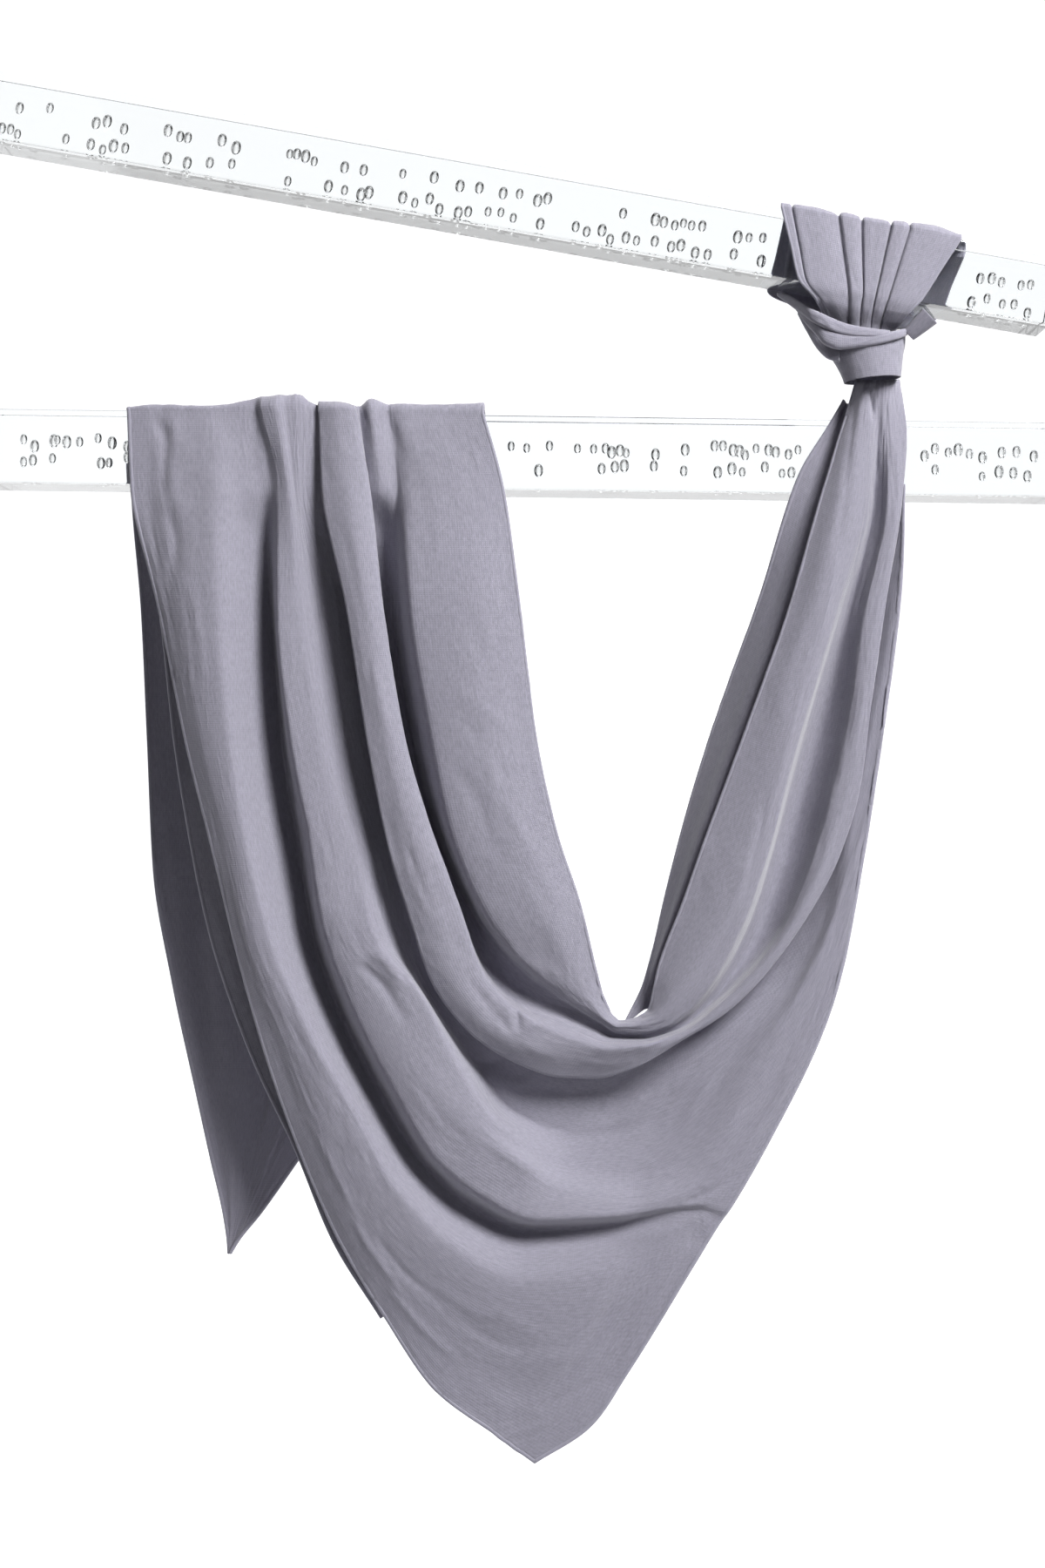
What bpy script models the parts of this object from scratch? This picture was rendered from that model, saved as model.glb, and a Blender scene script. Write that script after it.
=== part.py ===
"""Crinkle scarf, folded to a triangle, hung over one clear square rod and knotted round another.

Every size is in millimetres and becomes metres as the mesh is made. +X is to the right, +Z up, and
the front faces -Y. The origin is the centre of the lower rod's left end.

Places are read as seen from the front: `across` and `down` are measured on the plane of the lower
rod's front face from the top left corner of a 600 x 900 frame, and `out` is how far a point stands in
front of that plane. A point that stands out is moved along the line to the eye, so that it still
shows at the same place.
"""

import math

import bmesh
import bpy
from mathutils import Matrix, Vector

MM = 0.001
WALL = 1.6
SEAM = 0.3
# How far from station 12 each half of the inner band ends.
SPLIT = 0.035

EYE_DISTANCE = 1420.0
EYE_ACROSS = 300.0
EYE_DOWN = 450.0

ROD_FROM, ROD_TO = -10.0, 610.0
LOWER_SIDE = 42.5
LOWER_TOP, LOWER_SLOPE = 234.3, 0.0131
UPPER_SIDE = 38.0
UPPER_TOP, UPPER_SLOPE = 40.3, 0.1764
UPPER_OUT = 39.0

CLOTH_COLOUR = (0.27, 0.26, 0.33, 1.0)
CLEAR_COLOUR = (0.92, 0.94, 0.95, 1.0)

# The folds of the inner band, from the swag's inner edge outwards. Each row is a place on the fold line:
# (station, across, down, out). Station 0 is the highest point over the lower rod, 10 the bottom of the
# swag and 20 the knot.
INNER_FOLDS = {
    "inner_edge": [
        (0, 278, 232, 4), (1, 289.5, 281, 5), (2, 299, 350, 7), (3, 308.5, 425, 7), (4, 320, 477.5, 7),
        (5, 333, 517.5, 6), (6, 341.5, 552.5, 4), (7, 346, 570, 2), (8, 349, 577.5, 0), (9, 352, 583, -1),
        (10, 356.5, 586, -2), (11, 364, 584.5, -1), (12, 371.5, 580, 0), (13, 378.5, 552.5, 3),
        (14, 392, 517.5, 6), (15, 406, 477.5, 9), (16, 419, 442.5, 11), (17, 436.5, 395, 13),
        (18, 452.5, 350, 15), (19, 472.5, 280, 17), (20, 491.5, 218, 14),
    ],
    "panel_crest": [
        (0, 252.5, 232.5, 3), (1, 264, 281, 7), (2, 270, 350, 14), (3, 278, 425, 15), (4, 294, 480, 15),
        (5, 310, 521, 14), (6, 322.5, 552.5, 9), (7, 334, 571.5, 7), (8, 341, 579, 6), (9, 347.5, 585, 5),
        (10, 355, 589, 5), (11, 365, 588.5, 5), (12, 376, 585, 6), (13, 395, 562.5, 10),
        (14, 415, 527.5, 14), (15, 431, 487.5, 17), (16, 442.5, 450, 19), (17, 456, 400, 21),
        (18, 469, 352.5, 23), (19, 485, 285, 25), (20, 497.5, 218, 23),
    ],
    "panel_shoulder": [
        (0, 229, 232.5, 3), (1, 233, 281, 5), (2, 237, 350, 12), (3, 249, 425, 12), (4, 260, 477.5, 11),
        (5, 278.5, 522.5, 9), (6, 301.5, 552, 7), (7, 320, 568.5, 3), (8, 334, 578.5, 3), (9, 346, 586, 2),
        (10, 355, 591.5, 2), (11, 367.5, 592, 3), (12, 384, 588, 4), (13, 404, 568.5, 8), (14, 428, 525, 13),
        (15, 443, 479, 16), (16, 452, 442.5, 18), (17, 465, 397.5, 19), (18, 479, 350, 20),
        (19, 495, 287.5, 22), (20, 501, 218, 24),
    ],
    "gap_wall": [
        (0, 223.5, 233, 2.2), (1, 226, 281, 2), (1.35, 227.2, 305, -5), (2, 230, 350, -10),
        (3, 241, 425, -13), (4, 254, 478, -13), (5, 274.5, 524.5, -12), (6, 296, 554, -9),
        (7, 316, 571, -4), (8, 332, 580.5, -3), (9, 344.5, 588, -2), (10, 354.5, 593.5, -1.5),
        (11, 368, 594, -1), (12, 386, 589.6, 0), (13, 406.5, 571.5, -2), (14, 432, 527, -4),
        (15, 446, 481, -3), (16, 456, 444, 0), (17, 469, 399, 5), (18, 483, 350, 10), (19, 498, 287, 20),
        (20, 503, 218, 22.5),
    ],
    "gap_floor": [
        (0, 213.5, 229, 7), (1, 218, 281, 4), (1.35, 219.7, 305, -12), (2, 224, 350, -21),
        (3, 235.5, 425, -25), (4, 249, 478, -24), (5, 270, 525, -19), (6, 287, 556.5, -14),
        (7, 308, 575, -8), (8, 327.5, 584, -4), (9, 341, 590.5, -3), (10, 353, 595.5, -2.5),
        (11, 368.5, 596, -2), (12, 388.5, 590.9, -1.5), (13, 410, 573, -6), (14, 439, 529, -10),
        (15, 453.5, 484, -10), (16, 464, 446, -8), (17, 476.5, 400.5, -3), (18, 487.5, 350, 4),
        (19, 502, 286.5, 13), (20, 505, 218, 24),
    ],
    "tube_underside": [
        (0, 206.5, 233.5, 2), (1, 211.5, 281, 1.6), (1.35, 213.5, 305, -9), (2, 218, 350, -18),
        (3, 230, 425, -22), (4, 244, 478, -20), (5, 263.5, 524, -14), (6, 279, 559, -9),
        (7, 299, 578, -3), (8, 322.5, 588, 2), (9, 337, 594, 3), (10, 351, 598.5, 3.5),
        (11, 368.5, 598.2, 3.5), (12, 390, 592.1, 3), (13, 414, 573.5, 0), (14, 446.5, 532, -3),
        (15, 462.5, 487, -4), (16, 473, 448, -1), (17, 484, 402, 4), (18, 492.5, 350, 9),
        (19, 506, 286, 16), (20, 507.5, 218, 23.5),
    ],
    "tube_right_edge": [
        (0, 204, 233.5, 8), (1, 212.5, 281, 9), (2, 220, 350, 13), (3, 232.5, 425, 14), (4, 247, 475, 13),
        (5, 265, 525, 11), (6, 276, 557, 9), (7, 295, 579, 8), (8, 316, 593, 8), (9, 332.5, 598.5, 8),
        (10, 349, 602, 9), (11, 368, 600.5, 9), (12, 391, 593.3, 6), (13, 416, 575, 8),
        (14, 449.5, 535, 9), (15, 469, 489, 11), (16, 480, 450, 13), (17, 490, 403, 15),
        (18, 497.5, 350, 17), (19, 510, 285.5, 21), (20, 510, 218, 21.5),
    ],
    "tube_crest": [
        (0, 194, 231, 9), (1, 200, 281, 14), (2, 209.5, 350, 19), (3, 222, 426, 20), (4, 236, 480, 19),
        (5, 250, 532.5, 16), (6, 262.5, 564, 13), (7, 282.5, 587.5, 10), (8, 307.5, 601, 8),
        (9, 327.5, 606, 6), (10, 346, 608.5, 5), (11, 366.5, 605, 6), (12, 391, 595.6, 7.5),
        (13, 418, 576.5, 9), (14, 452, 537, 11), (15, 475, 490.5, 13), (16, 486.5, 451, 15),
        (17, 495, 404, 17), (18, 502.5, 350, 18), (19, 514, 285, 21), (20, 513, 218, 18.5),
    ],
    "tube_left_edge": [
        (0, 183, 231, 5), (1, 184.5, 281, 9), (2, 199, 350, 15), (3, 211.5, 430, 17), (4, 223, 487.5, 16),
        (5, 237, 532.5, 13), (6, 248, 564, 9), (7, 272.5, 595, 5), (8, 298.5, 611, 1), (9, 320, 618, -1),
        (10, 341.5, 619, -2), (11, 364, 613, 2), (12, 390, 598.3, 6), (13, 420.5, 578.5, 8),
        (14, 455, 539, 10), (15, 482, 491.5, 12), (16, 494, 451.5, 14), (17, 500, 405, 16),
        (18, 508, 350, 17), (19, 518, 284.5, 19), (19.5, 520.5, 250, 18), (20, 516, 218, 14),
    ],
}

# The folds of the outer fall, from the edge tucked behind the tube above to the left hem. Station 17
# is the right hem, from the knot down to the bottom point.
OUTER_FOLDS = {
    "tucked_edge": [
        (0, 186, 234.6, 1.6), (1, 187.5, 281, 1.6), (2, 203, 350, -9), (3, 214, 422, -10),
        (4, 225, 476, -10), (5, 240, 526, -9), (6, 254, 564, -10), (7, 283, 596, -13), (8, 308, 609, -13),
        (9, 330, 614, -12), (10, 351, 611, -11), (11, 383, 599, -8), (12, 412, 577, -13),
        (13, 441, 543, -16), (14, 465, 492, -15), (15, 483, 420, -12), (16, 498, 345, -5),
        (17, 520, 278, 6),
    ],
    "rise_edge": [
        (0, 177, 230.5, 3.5), (1, 177, 281, 3), (2, 193, 350, -5), (3, 206, 426, -5), (4, 219, 480, -6),
        (5, 232, 529, -6), (6, 248.5, 570, -10), (7, 277, 602, -16), (8, 302, 622, -18), (9, 327, 630, -18),
        (10, 351, 630, -18), (11, 387, 615, -11), (12, 424, 590, -5), (13, 455, 561, -3), (14, 473.5, 525, 0),
        (15, 489.5, 472, 7), (16, 503, 410, 9), (17, 518, 335, 12),
    ],
    "pocket": [
        (0, 171.5, 226.5, 6), (1, 172, 281, 5), (2, 183, 350, -2), (3, 198, 427, -1), (4, 212, 482, 0),
        (5, 226, 532, -2), (6, 246, 572, -8), (7, 272, 608, -15), (8, 293, 636, -18), (9, 318, 647, -18),
        (10, 343, 651, -16), (11, 378, 647, -10), (12, 408, 629, -4), (13, 440, 598, 3), (14, 463, 565, 5),
        (15, 481, 528, 6), (16, 494, 490, 7), (17, 502.5, 452, 8),
    ],
    "branch_edge": [
        (0, 164, 227, 7), (1, 169, 281, 7), (2, 177, 350, 3), (3, 190, 429, 4), (4, 203, 487, 7),
        (5, 213.5, 537, 13), (6, 240, 570, 13), (7, 261, 611, 11), (8, 281.5, 642, 8), (9, 304, 661, 0),
        (10, 328, 670, -8), (11, 362, 672, -6), (12, 392, 664, -2), (13, 418, 650, 3), (14, 440, 630, 4),
        (15, 459, 607, 5), (16, 472, 583, 5), (17, 481, 568, 5),
    ],
    "second_crest": [
        (0, 158, 227.5, 9), (1, 165, 281, 9), (2, 170, 350, 7), (3, 182, 429, 8), (4, 191, 484, 9),
        (5, 200, 537, 13), (6, 221, 573, 14), (7, 240, 615, 14), (8, 267, 649, 12), (9, 295, 667, 10),
        (10, 321, 683, 4), (11, 361, 688, 3), (12, 380, 686, 5), (13, 396, 681, 5), (14, 410, 674, 5),
        (15, 424, 665, 5), (16, 435, 658, 4), (17, 443, 653, 4),
    ],
    "second_left_edge": [
        (0, 151, 228, 7), (1, 160, 281, 7), (2, 160, 350, 8), (3, 168, 425, 9), (4, 178.5, 480, 9),
        (5, 186.5, 532, 11), (6, 204.5, 580, 11), (7, 226.5, 623.5, 11), (8, 251.5, 664, 10),
        (9, 278, 685, 9), (10, 311, 699, 8), (11, 356, 697, 7), (12, 371, 694.5, 6), (13, 384, 692, 6),
        (14, 395, 690.5, 5), (15, 404, 690, 5), (16, 412, 691.5, 4), (17, 420, 693, 4),
    ],
    "trough_floor": [
        (0, 146, 229.5, 2.5), (1, 152, 281, 2), (1.35, 153.2, 305, -7), (2, 156, 350, -16),
        (3, 162, 427, -22), (4, 171, 484, -23), (5, 180, 537, -22), (6, 195.5, 582, -20),
        (7, 217, 626, -18), (8, 243.5, 669, -16), (9, 271, 693, -13), (10, 306, 706, -10),
        (11, 354, 703, -4), (12, 368, 700, -1), (13, 380, 697, 1), (14, 390, 695.5, 2),
        (15, 398, 695.5, 2), (16, 406, 698, 2), (17, 413.5, 702, 2),
    ],
    "first_crest": [
        (0, 120, 233.5, 3), (1, 122, 281, 10), (2, 124, 350, 15), (3, 131, 427, 15), (4, 141, 486, 15),
        (5, 155, 541, 15), (6, 176, 591, 15), (7, 201, 638, 14), (8, 224, 679, 13), (9, 257.5, 715, 11),
        (10, 300, 736.5, 9), (11, 350, 731.5, 6), (12, 361, 728, 4), (13, 371, 725, 3), (14, 380, 723, 3),
        (15, 388, 722, 3), (16, 395, 722, 2), (17, 400, 724, 2),
    ],
    "first_shoulder": [
        (0, 95, 232.5, 2), (1, 96, 281, 6), (2, 106, 350, 12), (3, 118, 427, 13), (4, 132, 486, 13),
        (5, 144, 542, 13), (6, 166, 597, 12), (7, 187, 647, 11), (8, 210, 696, 9), (9, 240, 732, 7),
        (10, 280, 766, 4), (11, 324, 780, 1), (12, 332, 781, -1), (13, 339, 781, -1), (14, 345, 781, -2),
        (15, 351, 781.5, -2), (16, 357, 783, -2), (17, 363, 784.5, -2),
    ],
    "hem_side": [
        (0, 84, 233, 1.8), (1, 85, 281, 2.5), (2, 98, 350, 8), (3, 112, 426.5, 9), (4, 127, 486, 9),
        (5, 140, 545, 9), (6, 159, 600, 8), (7, 179, 653, 7), (8, 202, 704, 6), (9, 230, 744, 4),
        (10, 265, 783, 0), (11, 303, 803, -3), (12, 310, 806, -3), (13, 317, 809, -3), (14, 323, 811.5, -4),
        (15, 329, 814, -4), (16, 334, 816.5, -4), (17, 339, 819, -4),
    ],
    "left_hem": [
        (0, 73, 234, 1.5), (1, 75, 281, 1.6), (2, 91, 350, 2), (3, 106, 426, 4), (4, 121.5, 486, 4),
        (5, 136, 547.5, 4), (6, 151.5, 603.5, 3), (7, 171.5, 660, 0), (8, 194, 711, -1),
        (9, 220, 755, -2), (10, 250, 798.5, -3), (11, 282, 822, -4), (12, 287, 826, -4),
        (13, 292, 829.5, -4), (14, 296, 832.5, -5), (15, 300, 835, -5), (16, 303.5, 837.5, -5),
        (17, 307, 840, -5),
    ],
}

# The second layer's own edge where it shows: (station, across, down, out).
LEFT_UNDER_EDGE = [
    (1.25, 79, 294, -4), (2, 91.5, 352, -12), (3, 100, 427, -15), (4, 109, 485, -16), (5, 121, 540, -16),
    (6, 143, 604, -12), (7, 169, 660, -6), (8, 191, 713, -6), (9, 218.5, 757, -6),
]
RIGHT_UNDER_EDGE = [
    (12, 357, 590, -8), (12.5, 369, 565, -12), (13, 373.5, 550, -15), (14, 382.5, 510, -19),
    (15, 393, 470, -20), (16, 403.5, 435, -18), (17, 419.5, 387.5, -13), (18, 436, 342.5, -6),
    (19, 458.5, 272.5, 5), (19.5, 475, 245, 8), (20, 490, 219, 9),
]

# The fall behind the lower rod: (down, left, right, back, folds). `back` is how far it hangs behind the
# rod's rear face and `folds` is the share of the folds' height over the rod that it keeps.
BACK_ROWS = [
    (262, 74.5, 278, 1.5, 0.6), (292, 76, 278, 3, 0.9), (350, 81, 273, 4, 1.2), (425, 84.5, 265, 4, 1.2),
    (500, 88, 250, 4, 1.0), (565, 99, 227, 4, 0.8), (625, 112, 200, 4, 0.5), (666, 121, 171.5, 4, 0.15),
    (696.5, 128, 150, 4, 0.03), (712, 130.3, 137.5, 4, 0), (719.5, 130.8, 133, 4, 0),
]

# Pleats of the loop, left to right: (across on the rod's top edge, on its front bottom edge, on its
# rear bottom edge, at the neck, height over the rod).
LOOP_PLEATS = [
    (448.5, 458.5, 440.5, 476, 1.3), (454.5, 462.5, 449, 479, 1.3), (467.5, 473, 463, 483.5, 3.0),
    (481, 487, 475, 488, 1.3), (488, 491.5, 483, 491, 3.2), (494.5, 495.5, 489, 493.5, 1.3),
    (503, 499.5, 498, 496.5, 3.0), (511.5, 503, 507, 499.5, 1.3), (517, 506.5, 513, 502, 3.5),
    (522, 510.5, 518, 505, 1.3), (537, 518.5, 528, 509.5, 4.2), (552, 529, 537, 514.5, 1.8),
]
# The neck of the loop, inside the knot: how far down it starts and ends, and how far out its front and
# its rear lie.
NECK_MIDDLE, NECK_TOP, NECK_END = 496.0, 189.0, 201.0
NECK_FRONT, NECK_REAR = 33.0, 12.0

# The crescent across the neck, left to right: (across, upper edge down, lower edge down, out).
WRAP_ROWS = [
    (446.5, 168.2, 169.5, 4), (452.5, 169, 174.5, 13), (457.5, 170.5, 179, 22), (462.5, 173, 184.5, 31),
    (467.5, 176, 189.5, 37.5), (472.5, 179.5, 193, 39.5), (478, 182.5, 195, 40.3), (490, 186, 196, 40.7),
    (502.5, 188, 195.5, 40.3), (512.5, 189, 194, 37.5), (519, 189.5, 192, 33),
]

# The band round the neck, top to bottom: (middle across, middle down, half width, half depth, tilt).
BAND_ROWS = [
    (497, 195.5, 21.4, 16.0, 0.20), (498, 201, 20.2, 15.4, 0.18), (499.2, 207.5, 18.0, 14.6, 0.15),
    (500.2, 213.5, 16.4, 14.0, 0.12), (500.7, 218.2, 15.4, 13.4, 0.10),
]
BAND_OUT = 22.0

# The rolled tail: (across, down, out) of the middle of its root and of its mouth, and their radii.
TAIL_ROOT, TAIL_ROOT_RADIUS = (521.5, 192.0, 27.0), 4.6
TAIL_MOUTH, TAIL_MOUTH_RADIUS = (533.5, 180.5, 31.0), 7.4
TAIL_TURNS, TAIL_TIGHTENING, TAIL_WALL = 1.55, 0.62, 1.1


def seen(across, down, out):
    """The place, in millimetres, that shows at (across, down) and stands `out` in front."""
    nearer = 1 - out / EYE_DISTANCE
    x = EYE_ACROSS + (across - EYE_ACROSS) * nearer
    z = -(EYE_DOWN + (down - EYE_DOWN) * nearer)
    return Vector((x, -out, z))


def lower_top(across):
    """How far down the lower rod's top edge is."""
    return LOWER_TOP + LOWER_SLOPE * across


ORIGIN = seen(ROD_FROM, lower_top(ROD_FROM), 0) + Vector((0, LOWER_SIDE / 2, -LOWER_SIDE / 2))
ORIGIN.x -= LOWER_SIDE / 2 * math.sin(math.atan(LOWER_SLOPE))


def between(rows, station):
    """A smooth curve through the rows, with no overshoot, read at this station."""
    stations = [row[0] for row in rows]
    station = min(max(station, stations[0]), stations[-1])
    i = 0
    while i < len(rows) - 2 and stations[i + 1] < station:
        i += 1
    step = stations[i + 1] - stations[i]
    u = (station - stations[i]) / step

    def slope(column, at):
        if at == 0 or at == len(rows) - 1:
            one = min(at, len(rows) - 2)
            return (rows[one + 1][column] - rows[one][column]) / (stations[one + 1] - stations[one])
        before = (rows[at][column] - rows[at - 1][column]) / (stations[at] - stations[at - 1])
        after = (rows[at + 1][column] - rows[at][column]) / (stations[at + 1] - stations[at])
        if before * after <= 0:
            return 0.0
        return 2 * before * after / (before + after)

    values = []
    for column in range(1, len(rows[0])):
        start, end = rows[i][column], rows[i + 1][column]
        leave, arrive = slope(column, i) * step, slope(column, i + 1) * step
        values.append(
            start * (2 * u**3 - 3 * u**2 + 1)
            + leave * (u**3 - 2 * u**2 + u)
            + end * (3 * u**2 - 2 * u**3)
            + arrive * (u**3 - u**2)
        )
    return values


def fill_in(points, steps):
    """The same line of points with `steps` short steps for each long one."""
    rows = [(i, *point) for i, point in enumerate(points)]
    count = (len(points) - 1) * steps
    return [Vector(between(rows, i / steps)) for i in range(count + 1)]


def material_of(name, colour, roughness, transmission=0.0):
    material = bpy.data.materials.new(name)
    material.use_nodes = True
    shader = material.node_tree.nodes["Principled BSDF"]
    shader.inputs["Base Color"].default_value = colour
    shader.inputs["Roughness"].default_value = roughness
    shader.inputs["Metallic"].default_value = 0.0
    shader.inputs["Transmission Weight"].default_value = transmission
    material.diffuse_color = colour
    return material


def add_object(name, mesh, material, collection):
    shape = bpy.data.objects.new(name, mesh)
    shape.data.materials.append(material)
    collection.objects.link(shape)
    return shape


def cloth(name, lines, collection, wall=WALL, closed=False):
    """A wall through lines of points, each line a cut across the cloth. A closed wall joins its sides."""
    mesh = bpy.data.meshes.new(name)
    form = bmesh.new()
    grid = [[form.verts.new((point - ORIGIN) * MM) for point in line] for line in lines]
    for near, far in zip(grid, grid[1:]):
        count = len(near) if closed else len(near) - 1
        for i in range(count):
            j = (i + 1) % len(near)
            form.faces.new((near[i], near[j], far[j], far[i]))
    form.to_mesh(mesh)
    form.free()
    mesh.shade_smooth()
    material = material_of(name + " cloth", CLOTH_COLOUR, 0.9)
    shape = add_object(name, mesh, material, collection)
    thick = shape.modifiers.new("wall", "SOLIDIFY")
    thick.thickness = wall * MM
    thick.offset = 0.0
    thick.use_rim = True
    return shape


def rod(name, side, corner, slope, collection):
    """A square bar from end to end, its front top edge starting at `corner`."""
    angle = math.atan(slope)
    turn = Matrix.Rotation(angle, 4, "Y")
    length = (ROD_TO - ROD_FROM) * (1 + corner.y / EYE_DISTANCE) / math.cos(angle)
    middle = corner - ORIGIN + turn @ Vector((length / 2, side / 2, -side / 2))
    bpy.ops.mesh.primitive_cube_add(size=1.0)
    bar = bpy.context.active_object
    bar.name = name
    bar.data.name = name
    bar.data.transform(Matrix.Diagonal((length * MM, side * MM, side * MM, 1)))
    bar.location = middle * MM
    bar.rotation_euler = (0, angle, 0)
    bar.data.materials.append(material_of(name + " acrylic", CLEAR_COLOUR, 0.05, 0.9))
    for home in list(bar.users_collection):
        home.objects.unlink(bar)
    collection.objects.link(bar)
    return bar


def over_lower_rod(rows):
    """How the fold line crosses the rod: from the middle of its top, over the edge, to its front."""
    across, down, out = rows[0][1:]
    lift = lower_top(across) - down
    points = [seen(across, lower_top(across), 0) + Vector((0, LOWER_SIDE / 2 - SEAM / 2, lift))]
    for angle in (0, 30, 60, 90):
        turn = math.radians(angle)
        corner = seen(across, lower_top(across), 0)
        points.append(corner + Vector((0, -out * math.sin(turn), lift * math.cos(turn))))
    return points


def fold_points(rows, stations):
    """The fold line's places at these stations. Station 0 is on the rod's front, just below its edge."""
    across, _, out = rows[0][1:]
    hung = [(0, across, lower_top(across), out)] + rows[1:]
    return [seen(*between(hung, station)) for station in stations]


def steps_between(start, end, count):
    return [start + (end - start) * i / count for i in range(count + 1)]


def across_folds(folds, stations, over_rod, steps):
    """Cuts across a set of folds, one for each station, with those over the rod first."""
    columns = []
    for rows in folds.values():
        start = over_lower_rod(rows)[:-1] if over_rod else []
        columns.append(start + fold_points(rows, stations))
    return [fill_in([column[i] for column in columns], steps) for i in range(len(columns[0]))]


def inner_fall(collection):
    stations = steps_between(0, 11, 22) + [11.5, 12 - SPLIT]
    return cloth("inner_fall", across_folds(INNER_FOLDS, stations, True, 2), collection)


def inner_rise(collection):
    stations = [12 + SPLIT, 12.35, 12.7] + steps_between(13, 20, 14)
    return cloth("inner_rise", across_folds(INNER_FOLDS, stations, False, 2), collection)


def outer_fall(collection):
    stations = steps_between(0, 11, 22) + steps_between(11.6, 17, 9)
    return cloth("outer_fall", across_folds(OUTER_FOLDS, stations, True, 2), collection)


def under_layer(name, edge_rows, folds, hidden, seat, stations, drop_behind, collection):
    """The second layer, from its own edge to where it lies against the back of the first one."""
    lines = []
    behind = Vector((0, WALL + SEAM + 0.1, 0))
    for station in stations:
        edge = seen(*between(edge_rows, station))
        first = fold_points(folds[hidden], [station])[0] + Vector((0, drop_behind, 0))
        last = fold_points(folds[seat], [station])[0] + behind
        middle = (edge + first) / 2
        lines.append([edge, middle, first, (first + last) / 2, last])
    return cloth(name, lines, collection)


def left_under_layer(collection):
    stations = steps_between(1.5, 9, 15)
    return under_layer("left_under_layer", LEFT_UNDER_EDGE, OUTER_FOLDS, "first_shoulder", "trough_floor",
                       stations, 25, collection)


def right_under_layer(collection):
    stations = [12 + SPLIT, 12.35, 12.7] + steps_between(13, 19.5, 13) + [19.8]
    return under_layer("right_under_layer", RIGHT_UNDER_EDGE, INNER_FOLDS, "inner_edge", "gap_floor",
                       stations, 9, collection)


def back_fall(collection):
    """Hung from the same folds as the front, which die away towards the hanging corner."""
    crossings = [rows[0] for rows in INNER_FOLDS.values()]
    crossings += [rows[0] for name, rows in OUTER_FOLDS.items() if name != "tucked_edge"]
    first, last = crossings[0][1], crossings[-1][1]
    lines = []
    for share in (0.0, 1.0):
        line = []
        for _, across, down, _ in crossings:
            lift = lower_top(across) - down
            deep = LOWER_SIDE / 2 + SEAM / 2 if share == 0 else LOWER_SIDE
            line.append(seen(across, lower_top(across), 0) + Vector((0, deep, lift)))
        lines.append(line)
    for angle in (35, 70):
        turn = math.radians(angle)
        line = []
        for _, across, down, _ in crossings:
            lift = lower_top(across) - down
            deep = LOWER_SIDE + lift * math.sin(turn)
            line.append(seen(across, lower_top(across), 0) + Vector((0, deep, lift * math.cos(turn))))
        lines.append(line)
    for down, left, right, back, folds in BACK_ROWS:
        line = []
        for _, across, top, _ in crossings:
            share = (across - last) / (first - last)
            lift = lower_top(across) - top
            hang = back + lift * folds
            line.append(seen(left + (right - left) * share, down, -LOWER_SIDE - hang))
        lines.append(line)
    return cloth("back_fall", lines, collection)


def on_upper_rod(across, forward, up):
    """A place in front of the upper rod's front face and above its top edge, that shows at `across`."""
    angle = math.atan(UPPER_SLOPE)
    out = UPPER_OUT + forward
    x = seen(across, EYE_DOWN, out).x
    foot = x - up * math.sin(angle)
    start = seen(ROD_FROM, UPPER_TOP + UPPER_SLOPE * ROD_FROM, UPPER_OUT)
    z = start.z - (foot - start.x) * UPPER_SLOPE + up * math.cos(angle)
    return Vector((x, -out, z))


def rod_loop(collection):
    """Round the rod from the neck in front, over the top, to the neck behind."""
    side = UPPER_SIDE
    columns = []
    for top, front_foot, rear_foot, neck, lift in LOOP_PLEATS:
        points = []
        narrow = NECK_MIDDLE + (neck - NECK_MIDDLE) * 0.8
        bulge = 1 - ((neck - NECK_MIDDLE) / 21) ** 2
        front, rear = 22 + (NECK_FRONT - 22) * bulge, 22 + (NECK_REAR - 22) * bulge
        flatter = 1 + (lift - 1.3) * 0.3
        points.append(seen(narrow, NECK_END, front))
        points.append(seen(neck, NECK_TOP, front + flatter - 1))
        points.append(on_upper_rod((neck + front_foot) / 2, lift - 2.0, -side - 8))
        points.append(on_upper_rod(front_foot, lift, -side))
        points.append(on_upper_rod((front_foot + top) / 2, lift, -side / 2))
        for angle in (90, 60, 30, 0):
            turn = math.radians(angle)
            points.append(on_upper_rod(top, lift * math.sin(turn), lift * math.cos(turn)))
        points.append(on_upper_rod(top, -side / 2, lift))
        for angle in (0, 45, 90):
            turn = math.radians(angle)
            points.append(on_upper_rod(top, -side - lift * math.sin(turn), lift * math.cos(turn)))
        points.append(on_upper_rod((rear_foot + top) / 2, -side - lift, -side / 2))
        points.append(on_upper_rod(rear_foot, -side - lift, -side))
        points.append(on_upper_rod((neck + rear_foot) / 2, -side - lift + 5, -side - 8))
        points.append(seen(neck, NECK_TOP, rear))
        points.append(seen(narrow, NECK_END, rear))
        columns.append(points)
    lines = [fill_in([column[i] for column in columns], 2) for i in range(len(columns[0]))]
    return cloth("rod_loop", lines, collection, wall=1.2)


def knot_wrap(collection):
    lines = []
    for station in steps_between(0, len(WRAP_ROWS) - 1, 2 * (len(WRAP_ROWS) - 1)):
        rows = [(i, *row) for i, row in enumerate(WRAP_ROWS)]
        across, upper, lower, out = between(rows, station)
        middle = (upper + lower) / 2
        swell = 0.12 * (lower - upper)
        lines.append([
            seen(across, upper, out - swell), seen(across, (upper + middle) / 2, out + swell * 0.4),
            seen(across, middle, out + swell), seen(across, (lower + middle) / 2, out + swell * 0.4),
            seen(across, lower, out - swell),
        ])
    return cloth("knot_wrap", lines, collection, wall=1.2)


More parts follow.
